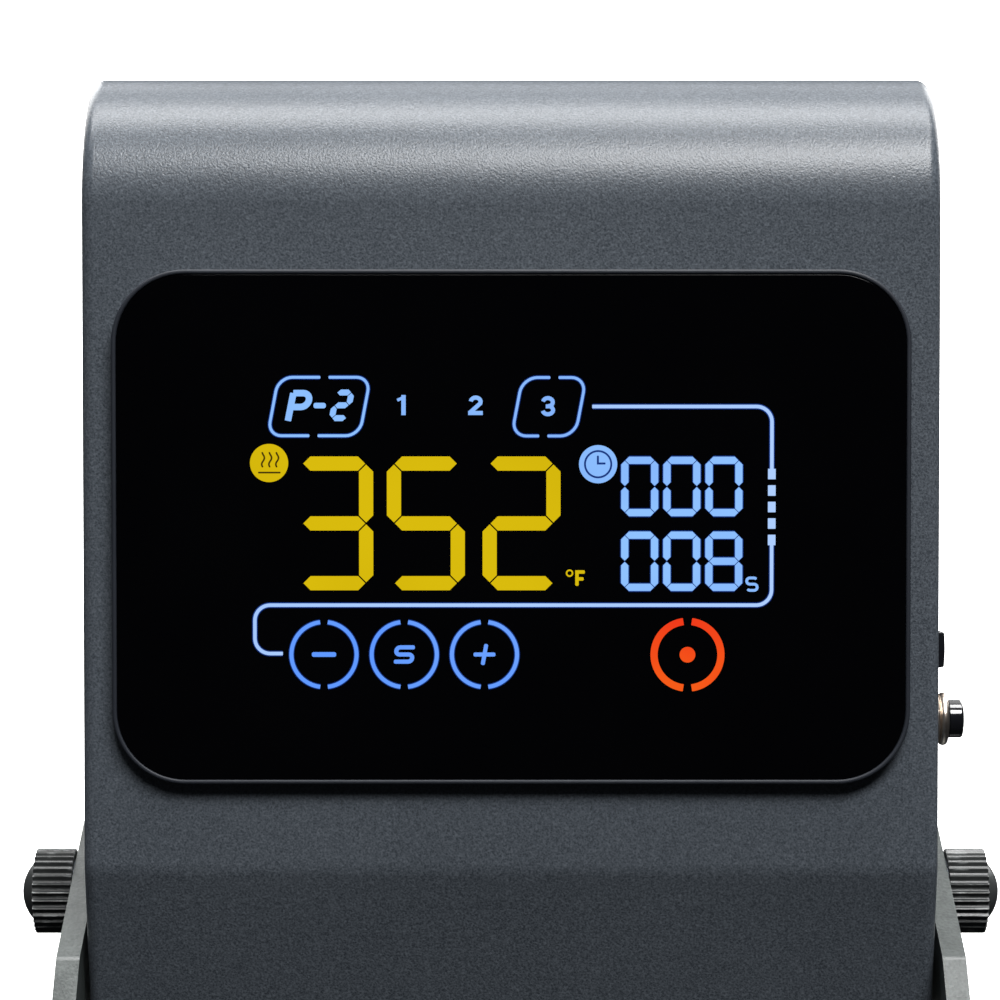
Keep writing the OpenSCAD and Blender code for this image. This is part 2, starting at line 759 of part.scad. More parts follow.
module rocker_switch_body() {
    side = head_w/2;
    back = side - rocker_body_l;
    color("black") at_rocker() difference() {
        union() {
            block(side, side + rocker_bezel_h, -rocker_h/2, rocker_h/2, -rocker_w/2, rocker_w/2);
            block(back, side, -rocker_h/2 + 1 + seat_gap, rocker_h/2 - 1 - seat_gap,
                -rocker_w/2 + 1 + seat_gap, rocker_w/2 - 1 - seat_gap);
            for (y = [-5, 5]) block(back - 7, back, y - 0.4, y + 0.4, -3.1, 3.1);
        }
        block(side - 9, side + rocker_bezel_h + over, -rocker_l/2 - 0.5, rocker_l/2 + 0.5,
            -rocker_t/2 - rocker_gap, rocker_t/2 + rocker_gap);
        translate([rocker_pivot_x, 0, -rocker_w/2]) cylinder(h = rocker_w, r = rocker_pin_r + slip);
    }
}

// The rocker on its two pins, tipped so that its front half stands out
module rocker() {
    half = rocker_l/2;
    pin_reach = rocker_t/2 + rocker_gap + rocker_pin_l;
    color("black") at_rocker() translate([rocker_pivot_x, 0, 0]) rotate([0, 0, rocker_tip]) {
        translate([0, 0, -rocker_t/2]) linear_extrude(rocker_t)
            polygon([[-3, -half + 2.4], [1.2, -half], [5.2, -half + 0.7], [5.9, -half + 1.4], [5.5, 0],
                [5.9, half - 1.4], [5.2, half - 0.7], [1.2, half], [-3, half - 2.4]]);
        translate([0, 0, -pin_reach]) cylinder(h = 2*pin_reach, r = rocker_pin_r);
    }
}

breaker_washer_t = 0.7;
ring_nut_t = 3.65;
bush_out = head_w/2 + breaker_washer_t + ring_nut_t + 0.1;
breaker_l = 30;
breaker_h = 30;
breaker_w = 14;
button_stem_r = 2.6;

module at_breaker() {
    in_head() translate([0, -breaker_y, breaker_z]) children();
}

module breaker_body() {
    shoulder = inner_side - 0.8;
    color("black") at_breaker() difference() {
        union() {
            rod_x(shoulder, bush_out, bush_r);
            block(shoulder - breaker_l, shoulder, -breaker_w/2, breaker_w/2, -breaker_h/2, breaker_h/2);
            for (z = [-8, 8]) block(shoulder - breaker_l - 8, shoulder - breaker_l, -3.1, 3.1, z - 0.4, z + 0.4);
        }
        rod_x(shoulder - 5 - button_travel, bush_out + over, button_stem_r + slip);
    }
}

module breaker_washer() {
    color("silver") at_breaker()
        ring_x(head_w/2, head_w/2 + breaker_washer_t, ring_nut_r + 0.5, bush_r + slip);
}

module breaker_ring_nut() {
    x0 = head_w/2 + breaker_washer_t;
    groove = 0.5;
    color("silver") at_breaker() difference() {
        rod_x(x0, x0 + ring_nut_t, ring_nut_r);
        rod_x(x0 - over, x0 + ring_nut_t + over, bush_r + slip);
        difference() {
            rod_x(x0 + ring_nut_t/2 - groove/2, x0 + ring_nut_t/2 + groove/2, ring_nut_r + over);
            rod_x(x0, x0 + ring_nut_t, ring_nut_r - groove);
        }
    }
}

module reset_button() {
    cap_in = bush_out + face_gap;
    cap_l = 3.5;
    color("black") at_breaker() {
        rod_x(inner_side - 2 - button_travel, cap_in, button_stem_r);
        rod_x(cap_in, cap_in + cap_l - 0.5, button_r);
        translate([cap_in + cap_l - 0.5, 0, 0]) rotate([0, 90, 0])
            cylinder(h = 0.5, r1 = button_r, r2 = button_r - 0.9);
    }
}

// ---- Nodes ----

base_plate();
left_cheek();
right_cheek();
cheek_screws();
front_shell();
rear_cover();
rear_cover_screws();
pivot_boss_left();
pivot_boss_right();
friction_washer_left();
friction_washer_right();
display_bezel();
bezel_gasket();
touch_glass();
lcd_panel();
backlight();
touch_springs();
display_board();
display_board_standoffs();
display_board_screws();
ribbon_cable();
ribbon_sockets();
power_board();
power_board_standoffs();
power_board_screws();
transformer_core();
transformer_coil();
heater_relay();
terminal_block();
capacitors();
buzzer();
cable_gland_body();
cable_gland_nut();
cable_gland_seal();
cable_gland_locknut();
rocker_switch_body();
rocker();
breaker_body();
breaker_washer();
breaker_ring_nut();
reset_button();
clamp_washer_left();
knob_left();
knob_cap_left();
clamp_bolt_left();
clamp_washer_right();
knob_right();
knob_cap_right();
clamp_bolt_right();
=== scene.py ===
"""The looks of a tilting touch control head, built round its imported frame.

Every piece is modelled in the head's own upright frame or in the yoke's frame, in metres, and is then put
in place in its mesh. A piece that carries over a CAD node is a merged copy of that node with worked edges.
"""

import json
import logging
import math
from dataclasses import dataclass, field
from enum import Enum
from typing import Iterable, Sequence

import bmesh
import bpy
from mathutils import Matrix, Vector

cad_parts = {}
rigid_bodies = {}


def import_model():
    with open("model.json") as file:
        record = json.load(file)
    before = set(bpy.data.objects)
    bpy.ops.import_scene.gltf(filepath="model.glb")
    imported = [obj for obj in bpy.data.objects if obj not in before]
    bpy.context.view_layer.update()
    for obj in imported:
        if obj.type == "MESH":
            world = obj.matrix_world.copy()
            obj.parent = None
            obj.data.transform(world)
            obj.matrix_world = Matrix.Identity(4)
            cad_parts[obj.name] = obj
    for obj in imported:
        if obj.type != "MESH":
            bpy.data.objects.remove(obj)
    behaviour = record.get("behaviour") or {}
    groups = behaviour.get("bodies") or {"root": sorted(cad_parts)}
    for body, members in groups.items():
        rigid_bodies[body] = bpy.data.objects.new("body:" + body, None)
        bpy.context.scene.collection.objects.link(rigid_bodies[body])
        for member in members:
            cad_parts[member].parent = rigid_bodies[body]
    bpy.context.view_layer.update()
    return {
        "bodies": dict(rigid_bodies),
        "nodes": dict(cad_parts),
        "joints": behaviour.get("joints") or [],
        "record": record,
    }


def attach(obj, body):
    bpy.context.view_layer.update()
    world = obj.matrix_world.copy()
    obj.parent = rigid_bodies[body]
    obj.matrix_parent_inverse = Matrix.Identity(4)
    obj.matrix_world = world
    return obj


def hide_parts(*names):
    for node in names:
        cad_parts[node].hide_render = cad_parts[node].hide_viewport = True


log = logging.getLogger("control_head")

MM = 0.001
MERGE_DISTANCE = 1e-6
NEAR = MM / 50
FLAT_ANGLE = math.radians(0.4)
SMOOTH_ANGLE = math.radians(35)


# ---- Small helpers ----


def linear(hex_colour: str) -> tuple[float, float, float, float]:
    """Turns an sRGB hex colour such as "#3a3f45" into linear RGBA.

    Args:
        hex_colour: The colour, with or without its leading #.

    Returns:
        Red, green, blue and an alpha of 1.
    """
    digits = hex_colour.lstrip("#")
    channels = [int(digits[i : i + 2], 16) / 255 for i in (0, 2, 4)]
    parts = [c / 12.92 if c <= 0.04045 else ((c + 0.055) / 1.055) ** 2.4 for c in channels]
    return (*parts, 1.0)


def add_node(tree: bpy.types.NodeTree, kind: str, inputs: dict | None = None, **settings) -> bpy.types.Node:
    """Adds a node, sets its properties, and fills or links its inputs.

    Args:
        tree: The node tree.
        kind: The node's type name, such as "ShaderNodeTexNoise".
        inputs: Input names or numbers, each with a value or with the output socket to link.
        **settings: Properties of the node.

    Returns:
        The new node.
    """
    node = tree.nodes.new(kind)
    for name, value in settings.items():
        setattr(node, name, value)
    for key, value in (inputs or {}).items():
        if isinstance(value, bpy.types.NodeSocket):
            tree.links.new(value, node.inputs[key])
        else:
            node.inputs[key].default_value = value
    return node


def arc(
    centre: tuple[float, float], radius: float, start: float, end: float, steps: int, tall: float = 1.0
) -> list:
    """Points along an arc.

    Args:
        centre: Its middle, in any 2D frame.
        radius: Its radius.
        start: First angle in degrees.
        end: Last angle in degrees.
        steps: Number of chords.
        tall: Height of the arc's ellipse for each unit of its width.

    Returns:
        A list of (x, z) points, both ends included.
    """
    angles = [math.radians(start + (end - start) * i / steps) for i in range(steps + 1)]
    return [(centre[0] + radius * math.cos(a), centre[1] + tall * radius * math.sin(a)) for a in angles]


def sheared(points: Iterable[tuple[float, float]], slant: float, about: float) -> list:
    """Leans 2D points sideways by slant for each unit of height above about."""
    return [(x + slant * (z - about), z) for x, z in points]


@dataclass(frozen=True)
class HeadFrame:
    """The head's upright frame: its origin on the tilt axis, leaned back with the head at rest."""

    pivot: Vector
    lean: float

    @classmethod
    def from_joints(cls, joints: Sequence[dict]) -> "HeadFrame":
        """Reads the tilt axis and the lean from the joints.

        Args:
            joints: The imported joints.

        Returns:
            The head's frame.
        """
        by_name = {j["name"]: j for j in joints}
        axis = by_name["power_rocker_tip"]["axis"]
        return cls(Vector(by_name["head_tilt"]["pos_m"]), math.atan2(-axis[1], -axis[2]))

    @property
    def matrix(self) -> Matrix:
        """Takes head coordinates to the object's frame."""
        return Matrix.Translation(self.pivot) @ Matrix.Rotation(-self.lean, 4, "X")

    def box(self, node: str) -> tuple[Vector, Vector]:
        """The lowest and highest corner of a CAD node in head coordinates."""
        back = self.matrix.inverted()
        points = [back @ v.co for v in bpy.data.objects[node].data.vertices]
        low = Vector([min(p[i] for p in points) for i in range(3)])
        high = Vector([max(p[i] for p in points) for i in range(3)])
        return low, high


# ---- Finishes ----


class Surface(Enum):
    """How a finish's fine relief looks."""

    PEEL = "orange peel of a sprayed or powdered coat"
    SPARK = "fine spark-eroded grain of moulded plastic"
    BRUSHED = "lathe or brush lines along one axis"
    PLAIN = "smooth, with only slight unevenness"
    WOUND = "close parallel turns or ribs"


@dataclass(frozen=True)
class Finish:
    """One real finish: its tones, its gloss and its relief, with sizes in millimetres."""

    name: str
    light: str
    dark: str
    roughness: float
    grain_mm: float
    relief_mm: float
    surface: Surface = Surface.PLAIN
    metallic: float = 0.0
    roughness_spread: float = 0.06
    cloud_mm: float = 30.0
    speckle: float = 0.4
    specular: float = 0.5
    coat: float = 0.0
    coat_roughness: float = 0.1
    sheen: float = 0.0
    # Colour of a painted highlight along outer edges, laid in patches; empty for none.
    painted_edge_highlight: str = ""

    def build(self) -> bpy.types.Material:
        """Makes the material, or returns the one already made.

        Returns:
            A node material that reads object coordinates only.
        """
        made = bpy.data.materials.get(self.name)
        if made:
            return made
        material = bpy.data.materials.new(self.name)
        material.use_nodes = True
        tree = material.node_tree
        shader = tree.nodes["Principled BSDF"]
        place = add_node(tree, "ShaderNodeTexCoord").outputs["Object"]
        grain = self._grain(tree, place)
        cloud = add_node(
            tree, "ShaderNodeTexNoise", {"Vector": place, "Scale": 1 / (self.cloud_mm * MM), "Detail": 3.0}
        ).outputs["Fac"]
        blend = add_node(
            tree, "ShaderNodeMix", {0: self.speckle, 2: cloud, 3: grain}, data_type="FLOAT"
        ).outputs[0]
        share = add_node(
            tree, "ShaderNodeMapRange", {"Value": blend, "From Min": 0.32, "From Max": 0.68}
        ).outputs["Result"]
        colour = add_node(
            tree, "ShaderNodeMix", {0: share, 6: linear(self.dark), 7: linear(self.light)}, data_type="RGBA"
        ).outputs[2]
        # A painted highlight along the outer edges, in patches, over the coat's colour.
        if self.painted_edge_highlight:
            colour = self._with_painted_edge_highlight(tree, place, colour)
        tree.links.new(colour, shader.inputs["Base Color"])
        gloss = add_node(
            tree,
            "ShaderNodeMapRange",
            {
                "Value": cloud,
                "From Min": 0.3,
                "From Max": 0.7,
                "To Min": self.roughness - self.roughness_spread / 2,
                "To Max": self.roughness + self.roughness_spread / 2,
            },
        ).outputs["Result"]
        tree.links.new(gloss, shader.inputs["Roughness"])
        shader.inputs["Metallic"].default_value = self.metallic
        shader.inputs["Specular IOR Level"].default_value = self.specular
        shader.inputs["Coat Weight"].default_value = self.coat
        shader.inputs["Coat Roughness"].default_value = self.coat_roughness
        shader.inputs["Sheen Weight"].default_value = self.sheen
        if self.relief_mm > 0:
            bump = add_node(
                tree, "ShaderNodeBump", {"Height": grain, "Distance": self.relief_mm * MM, "Strength": 1.0}
            )
            tree.links.new(bump.outputs["Normal"], shader.inputs["Normal"])
        return material

    def _grain(self, tree: bpy.types.NodeTree, place: bpy.types.NodeSocket) -> bpy.types.NodeSocket:
        """Adds the nodes of the fine relief.

        Args:
            tree: The node tree.
            place: The object coordinates.

        Returns:
            A value from 0 to 1.
        """
        scale = 1 / (self.grain_mm * MM)
        if self.surface is Surface.PEEL:
            coarse = add_node(
                tree, "ShaderNodeTexNoise", {"Vector": place, "Scale": scale, "Detail": 2.0, "Roughness": 0.6}
            ).outputs["Fac"]
            cells = add_node(
                tree, "ShaderNodeTexVoronoi", {"Vector": place, "Scale": scale * 1.3}, feature="SMOOTH_F1"
            ).outputs["Distance"]
            return add_node(
                tree, "ShaderNodeMix", {0: 0.4, 2: coarse, 3: cells}, data_type="FLOAT"
            ).outputs[0]
        if self.surface is Surface.SPARK:
            inputs = {"Vector": place, "Scale": scale, "Detail": 4.0, "Roughness": 0.75}
            return add_node(tree, "ShaderNodeTexNoise", inputs).outputs["Fac"]
        if self.surface is Surface.BRUSHED:
            stretched = add_node(
                tree, "ShaderNodeMapping", {"Vector": place, "Scale": (1.0, 0.06, 0.06)}
            ).outputs["Vector"]
            return add_node(
                tree, "ShaderNodeTexNoise", {"Vector": stretched, "Scale": scale, "Detail": 3.0}
            ).outputs["Fac"]
        if self.surface is Surface.WOUND:
            return add_node(
                tree,
                "ShaderNodeTexWave",
                {"Vector": place, "Scale": scale / math.tau, "Distortion": 0.4, "Detail": 1.0},
                bands_direction="X",
            ).outputs["Fac"]
        return add_node(
            tree, "ShaderNodeTexNoise", {"Vector": place, "Scale": scale, "Detail": 2.0}
        ).outputs["Fac"]

    def _with_painted_edge_highlight(
        self, tree: bpy.types.NodeTree, place: bpy.types.NodeSocket, colour: bpy.types.NodeSocket
    ) -> bpy.types.NodeSocket:
        """Paints a highlight in a lighter colour along outer edges, in patches.

        Args:
            tree: The node tree.
            place: The object coordinates.
            colour: The coat's colour.

        Returns:
            The colour with its painted edge highlight.
        """
        edge = add_node(
            tree,
            "ShaderNodeMapRange",
            {
                "Value": add_node(tree, "ShaderNodeNewGeometry").outputs["Pointiness"],
                "From Min": 0.53,
                "From Max": 0.6,
            },
        ).outputs["Result"]
        # Patches where the painted edge highlight shows.
        patch = add_node(
            tree, "ShaderNodeTexNoise", {"Vector": place, "Scale": 1 / (4 * MM), "Detail": 5.0}
        ).outputs["Fac"]
        highlight_patches = add_node(
            tree, "ShaderNodeMapRange", {"Value": patch, "From Min": 0.5, "From Max": 0.62, "To Max": 0.7}
        ).outputs["Result"]
        amount = add_node(tree, "ShaderNodeMath", {0: edge, 1: highlight_patches}, operation="MULTIPLY").outputs[0]
        return add_node(
            tree, "ShaderNodeMix", {0: amount, 6: colour, 7: linear(self.painted_edge_highlight)}, data_type="RGBA"
        ).outputs[2]


@dataclass(frozen=True)
class Lit:
    """A lit symbol of the display: light through a printed film, so it shows one even colour."""

    name: str
    light: str
    dark: str
    strength: float = 1.0
    cloud_mm: float = 26.0

    def build(self) -> bpy.types.Material:
        """Makes the material, or returns the one already made."""
        made = bpy.data.materials.get(self.name)
        if made:
            return made
        material = bpy.data.materials.new(self.name)
        material.use_nodes = True
        tree = material.node_tree
        shader = tree.nodes["Principled BSDF"]
        place = add_node(tree, "ShaderNodeTexCoord").outputs["Object"]
        cloud = add_node(
            tree, "ShaderNodeTexNoise", {"Vector": place, "Scale": 1 / (self.cloud_mm * MM), "Detail": 1.0}
        ).outputs["Fac"]
        share = add_node(
            tree, "ShaderNodeMapRange", {"Value": cloud, "From Min": 0.35, "From Max": 0.65}
        ).outputs["Result"]
        colour = add_node(
            tree, "ShaderNodeMix", {0: share, 6: linear(self.dark), 7: linear(self.light)}, data_type="RGBA"
        ).outputs[2]
        tree.links.new(colour, shader.inputs["Emission Color"])
        shader.inputs["Emission Strength"].default_value = self.strength
        shader.inputs["Base Color"].default_value = linear("#050507")
        shader.inputs["Roughness"].default_value = 0.3
        shader.inputs["Specular IOR Level"].default_value = 0.1
        return material


# Powder-coated sheet steel, cured matt: a fine peel and speckle that break highlights into soft grains.
HEAD_COAT = Finish(
    "powder_coat_dark_grey", "#5b6168", "#32373d", 0.31, 0.5, 0.08, Surface.PEEL, cloud_mm=60,
    roughness_spread=0.03, speckle=0.9, specular=0.36,
)
# Powder-coated steel plate: a coarser, greyer peel whose gloss varies from patch to patch.
YOKE_COAT = Finish(
    "powder_coat_grey_plate", "#474d4b", "#2b302f", 0.34, 0.9, 0.08, Surface.PEEL, cloud_mm=5,
    roughness_spread=0.12, speckle=0.6,
)
# Injection-moulded ABS, satin black: a soft broad shine along its rounded rim.
BEZEL_ABS = Finish("abs_satin_black", "#24282f", "#1b1e25", 0.52, 0.25, 0.006, Surface.SPARK, specular=0.3)
# Back-printed tempered glass: a clean sharp reflection over solid black.
BLACK_GLASS = Finish(
    "tempered_glass_black", "#020203", "#010102", 0.05, 40.0, 0.0, roughness_spread=0.02, specular=0.25
)
# Closed-cell PVC foam strip.
FOAM = Finish("foam_closed_cell", "#26282b", "#17181a", 0.85, 0.5, 0.05, Surface.SPARK, sheen=0.2)
# Liquid-crystal cell behind its polariser.
LCD_CELL = Finish("lcd_polariser", "#12161c", "#0c0f14", 0.12, 30.0, 0.0)
# Moulded white polycarbonate of the light guide.
LIGHT_GUIDE = Finish("polycarbonate_white", "#eceae4", "#dedbd3", 0.35, 3.0, 0.01, Surface.SPARK)
# Phosphor bronze spring wire.
SPRING_BRONZE = Finish(
    "phosphor_bronze", "#c99a55", "#b5853f", 0.28, 0.3, 0.003, Surface.BRUSHED, metallic=1.0
)
# Glass-fibre board under green solder resist.
RESIST_GREEN = Finish("solder_resist_green", "#1f6b3c", "#124a28", 0.33, 2.4, 0.02, Surface.PEEL, coat=0.4)
# Steel, zinc plated and clear passivated: bluish grey with a fine satin.
ZINC_STEEL = Finish("zinc_plated_steel", "#b9bec6", "#989ea8", 0.3, 0.4, 0.004, Surface.BRUSHED, metallic=1.0)
# Brass, nickel plated and turned: warm silver with fine tool lines.
NICKEL_BRASS = Finish(
    "nickel_plated_brass", "#efe6db", "#b3a294", 0.3, 0.4, 0.02, Surface.BRUSHED, metallic=1.0, cloud_mm=3
)
# Alloy steel screws with a black oxide.
BLACK_OXIDE = Finish("black_oxide_steel", "#2a2b2d", "#1c1d1f", 0.34, 0.4, 0.006, Surface.SPARK, metallic=0.7)
# Nitrile rubber washer.
NITRILE = Finish("nitrile_rubber", "#1d1d1f", "#141416", 0.72, 0.6, 0.02, Surface.SPARK, sheen=0.15)
# Grey PVC ribbon of parallel wires.
RIBBON_PVC = Finish("ribbon_pvc_grey", "#b3b6ba", "#9a9da2", 0.45, 1.27, 0.12, Surface.WOUND)
# Stacked, varnished silicon-steel laminations.
LAMINATIONS = Finish(
    "silicon_steel_varnished", "#73706b", "#55524e", 0.4, 0.5, 0.05, Surface.WOUND, metallic=0.6
)
# Polyester tape over enamelled wire.
COIL_TAPE = Finish("polyester_tape_yellow", "#d1a836", "#b98d22", 0.32, 0.9, 0.05, Surface.WOUND, coat=0.3)
# Moulded PBT of the relay's case.
RELAY_PBT = Finish("pbt_blue", "#2c63a8", "#204f8c", 0.36, 0.5, 0.01, Surface.SPARK)
# Moulded polyamide of the screw terminals.
TERMINAL_PA = Finish("polyamide_green", "#2e8a50", "#216b3c", 0.42, 0.4, 0.01, Surface.SPARK)
# Heat-shrunk PVC sleeve on the capacitors.
SLEEVE_PVC = Finish("sleeve_pvc_navy", "#1b2747", "#121b35", 0.25, 8.0, 0.01, coat=0.3)
# Moulded glass-filled nylon, black.
BLACK_NYLON = Finish("nylon_black", "#202124", "#16171a", 0.42, 0.35, 0.02, Surface.SPARK)
# Polished black ABS of the rocker and the reset button: crisp highlights under a clear gloss.
GLOSS_ABS = Finish(
    "abs_polished_black", "#141519", "#0a0b0e", 0.12, 6.0, 0.006, roughness_spread=0.08, coat=0.6,
    coat_roughness=0.08,
)
# Phenolic of the clamp knobs: semi-gloss, with a painted highlight in light grey along its crests.
KNOB_PHENOLIC = Finish(
    "phenolic_black", "#3a3c3c", "#222424", 0.33, 0.5, 0.03, Surface.PEEL, roughness_spread=0.14,
    painted_edge_highlight="#8b8e8e",
)

BLUE_LIGHT = Lit("lit_blue", "#8fc2ff", "#84b4fc")
BLUE_BLEED = Lit("lit_blue_bleed", "#163a86", "#102c72")
PALE_LIGHT = Lit("lit_pale_blue", "#b0d0ff", "#98bffb", cloud_mm=60)
KEY_LIGHT = Lit("lit_key_blue", "#6aa0ff", "#5e98ff")
YELLOW_LIGHT = Lit("lit_yellow", "#d9bb04", "#d4b602")
POWER_LIGHT = Lit("lit_orange_red", "#f65a14", "#f03a16", cloud_mm=18)
AMBER_INK = Lit("lit_amber_mask", "#4c3c02", "#3d3002")

SLOT_FINISHES: dict[str, Finish] = {
    "shell_paint": HEAD_COAT,
    "yoke_paint": YOKE_COAT,
    "bezel_plastic": BEZEL_ABS,
    "display_glass": BLACK_GLASS,
    "gasket_foam": FOAM,
    "lcd_glass": LCD_CELL,
    "white_plastic": LIGHT_GUIDE,
    "spring_brass": SPRING_BRONZE,
    "circuit_board": RESIST_GREEN,
    "zinc_steel": ZINC_STEEL,
    "nickel_steel": NICKEL_BRASS,
    "black_steel": BLACK_OXIDE,
    "friction_rubber": NITRILE,
    "ribbon_plastic": RIBBON_PVC,
    "core_iron": LAMINATIONS,
    "coil_tape": COIL_TAPE,
    "relay_plastic": RELAY_PBT,
    "terminal_plastic": TERMINAL_PA,
    "capacitor_sleeve": SLEEVE_PVC,
    "black_plastic": BLACK_NYLON,
    "gloss_black": GLOSS_ABS,
}


# ---- The workshop: turning bmeshes into pieces ----


@dataclass
class Workshop:
    """Makes finished pieces from bmeshes and from CAD nodes, and logs each one."""

    frame: dict
    head: HeadFrame
    slots: dict[str, str] = field(init=False)
    bodies: dict[str, str] = field(init=False)

    def __post_init__(self) -> None:
        """Reads which slot and which body each CAD node has."""
        record = self.frame["record"]
        self.slots = {row["node"]: row["material_slot"] for row in record["subparts"]}
        self.bodies = {n: b for b, members in record["behaviour"]["bodies"].items() for n in members}

    def finished(
        self,
        name: str,
        bm: bmesh.types.BMesh,
        body: str,
        finish: Finish | Lit,
        slot: str = "",
        place: Matrix | None = None,
        replaces: Sequence[str] = (),
    ) -> bpy.types.Object:
        """Turns a bmesh into a piece that rides on a body.

        Args:
            name: The piece's name.
            bm: Its shape; it is freed here.
            body: The CAD body that it moves with.
            finish: Its finish.
            slot: The record's material slot, or nothing for a lit symbol; not used.
            place: Takes the bmesh's coordinates to the object's frame.
            replaces: The CAD nodes that it stands for.

        Returns:
            The piece, at the origin, with its place in its mesh.
        """
        mesh = bpy.data.meshes.new(name)
        for face in bm.faces:
            face.smooth = True
        bm.to_mesh(mesh)
        bm.free()
        mesh.set_sharp_from_angle(angle=SMOOTH_ANGLE)
        if place is not None:
            mesh.transform(place)
        mesh.materials.append(finish.build())
        piece = bpy.data.objects.new(name, mesh)
        bpy.context.scene.collection.objects.link(piece)
        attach(piece, body)
        if replaces:
            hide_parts(*replaces)
        log.info("%s: %d vertices on %s, %s", name, len(mesh.vertices), body, finish.name)
        return piece

    def refined(self, node: str, edge_mm: float, segments: int = 2) -> bpy.types.Object:
        """Carries a CAD node over with merged faces, worked edges and its slot's own finish.

        Args:
            node: The CAD node.
            edge_mm: Width of the softened edges, or 0 to leave them sharp.
            segments: Steps across each softened edge.

        Returns:
            The piece that stands for the node.
        """
        slot = self.slots[node]
        bm = bmesh.new()
        bm.from_mesh(self.frame["nodes"][node].data)
        bmesh.ops.remove_doubles(bm, verts=bm.verts, dist=MERGE_DISTANCE)
        bmesh.ops.dissolve_limit(bm, angle_limit=FLAT_ANGLE, verts=bm.verts, edges=bm.edges)
        piece = self.finished(
            f"{node}_finished", bm, self.bodies[node], SLOT_FINISHES[slot], slot, replaces=[node]
        )
        soften(piece, edge_mm, segments)
        return piece


def soften(piece: bpy.types.Object, edge_mm: float, segments: int = 2) -> None:
    """Rounds a piece's sharp edges and keeps its flats flat.

    Args:
        piece: The piece.
        edge_mm: Width of the rounding, or 0 for none.
        segments: Steps across it.
    """
    if edge_mm > 0:
        bevel = piece.modifiers.new("edges", "BEVEL")
        bevel.width = edge_mm * MM
        bevel.segments = segments
        bevel.limit_method = "ANGLE"
        bevel.angle_limit = SMOOTH_ANGLE
        bevel.use_clamp_overlap = True
    flats = piece.modifiers.new("flats", "WEIGHTED_NORMAL")
    flats.keep_sharp = True
    flats.weight = 100


def applied(piece: bpy.types.Object) -> None:
    """Applies a piece's modifiers to its mesh."""
    bpy.context.view_layer.update()
    graph = bpy.context.evaluated_depsgraph_get()
    mesh = bpy.data.meshes.new_from_object(piece.evaluated_get(graph))
    old = piece.data
    piece.modifiers.clear()
    piece.data = mesh
    bpy.data.meshes.remove(old)


def cut(solid: bmesh.types.BMesh, cutters: Sequence[bmesh.types.BMesh]) -> bmesh.types.BMesh:
    """Cuts solids out of a solid.

    Args:
        solid: What is cut; it is freed here.
        cutters: What is taken away; they are freed here.

    Returns:
        The cut solid.
    """
    objects = []
    for bm in (solid, *cutters):
        mesh = bpy.data.meshes.new("cutting")
        bmesh.ops.recalc_face_normals(bm, faces=bm.faces)
        bm.to_mesh(mesh)
        bm.free()
        piece = bpy.data.objects.new("cutting", mesh)
        bpy.context.scene.collection.objects.link(piece)
        objects.append(piece)
    for cutter in objects[1:]:
        boolean = objects[0].modifiers.new("cut", "BOOLEAN")
        boolean.operation = "DIFFERENCE"
        boolean.solver = "EXACT"
        boolean.object = cutter
    applied(objects[0])
    result = bmesh.new()
    result.from_mesh(objects[0].data)
    for piece in objects:
        mesh = piece.data
        bpy.data.objects.remove(piece)
        bpy.data.meshes.remove(mesh)
    return result


def extruded(bm: bmesh.types.BMesh, faces: Sequence[bmesh.types.BMFace], vec: Sequence[float]) -> None:
    """Extrudes faces along a vector in metres and turns the solid's faces outwards."""
    made = bmesh.ops.extrude_face_region(bm, geom=list(faces))["geom"]
    moved = [v for v in made if isinstance(v, bmesh.types.BMVert)]
    bmesh.ops.translate(bm, verts=moved, vec=vec)
    bmesh.ops.recalc_face_normals(bm, faces=bm.faces)


def rounded_edges(
    bm: bmesh.types.BMesh, edges: Sequence[bmesh.types.BMEdge], offset: float, segments: int
) -> None:
    """Rounds edges of a bmesh, with the offset in metres."""
    bmesh.ops.bevel(
        bm, geom=edges, offset=offset, segments=segments, profile=0.5, affect="EDGES", material=-1
    )


def block(low: Sequence[float], high: Sequence[float]) -> bmesh.types.BMesh:
    """A box between two corners, in millimetres."""
    bm = bmesh.new()
    bmesh.ops.create_cube(bm, size=1.0)
    size = [(high[i] - low[i]) * MM for i in range(3)]
    middle = [(high[i] + low[i]) / 2 * MM for i in range(3)]
    bmesh.ops.scale(bm, verts=bm.verts, vec=size)
    bmesh.ops.translate(bm, verts=bm.verts, vec=middle)
    return bm


def rounded_plate(
    width: float, height: float, radius: float, y0: float, y1: float, z: float
) -> bmesh.types.BMesh:
    """A plate with round corners, standing upright, in millimetres.

    Args:
        width: Along X.
        height: Along Z.
        radius: Of its corners.
        y0: Its front.
        y1: Its back.
        z: Its middle height.

    Returns:
        The plate.
    """
    bm = block((-width / 2, y0, z - height / 2), (width / 2, y1, z + height / 2))
    corners = [e for e in bm.edges if abs(e.verts[0].co.y - e.verts[1].co.y) > NEAR]
    rounded_edges(bm, corners, radius * MM, 12)
    return bm


def rod_along_x(x0: float, x1: float, radius: float, y: float = 0, z: float = 0) -> bmesh.types.BMesh:
    """A cylinder along X, in millimetres."""
    bm = bmesh.new()
    bmesh.ops.create_cone(
        bm, cap_ends=True, segments=48, radius1=radius * MM, radius2=radius * MM, depth=(x1 - x0) * MM
    )
    turn = Matrix.Rotation(math.pi / 2, 4, "Y")
    bmesh.ops.transform(bm, matrix=turn, verts=bm.verts)
    bmesh.ops.translate(bm, verts=bm.verts, vec=((x0 + x1) / 2 * MM, y * MM, z * MM))
    return bm


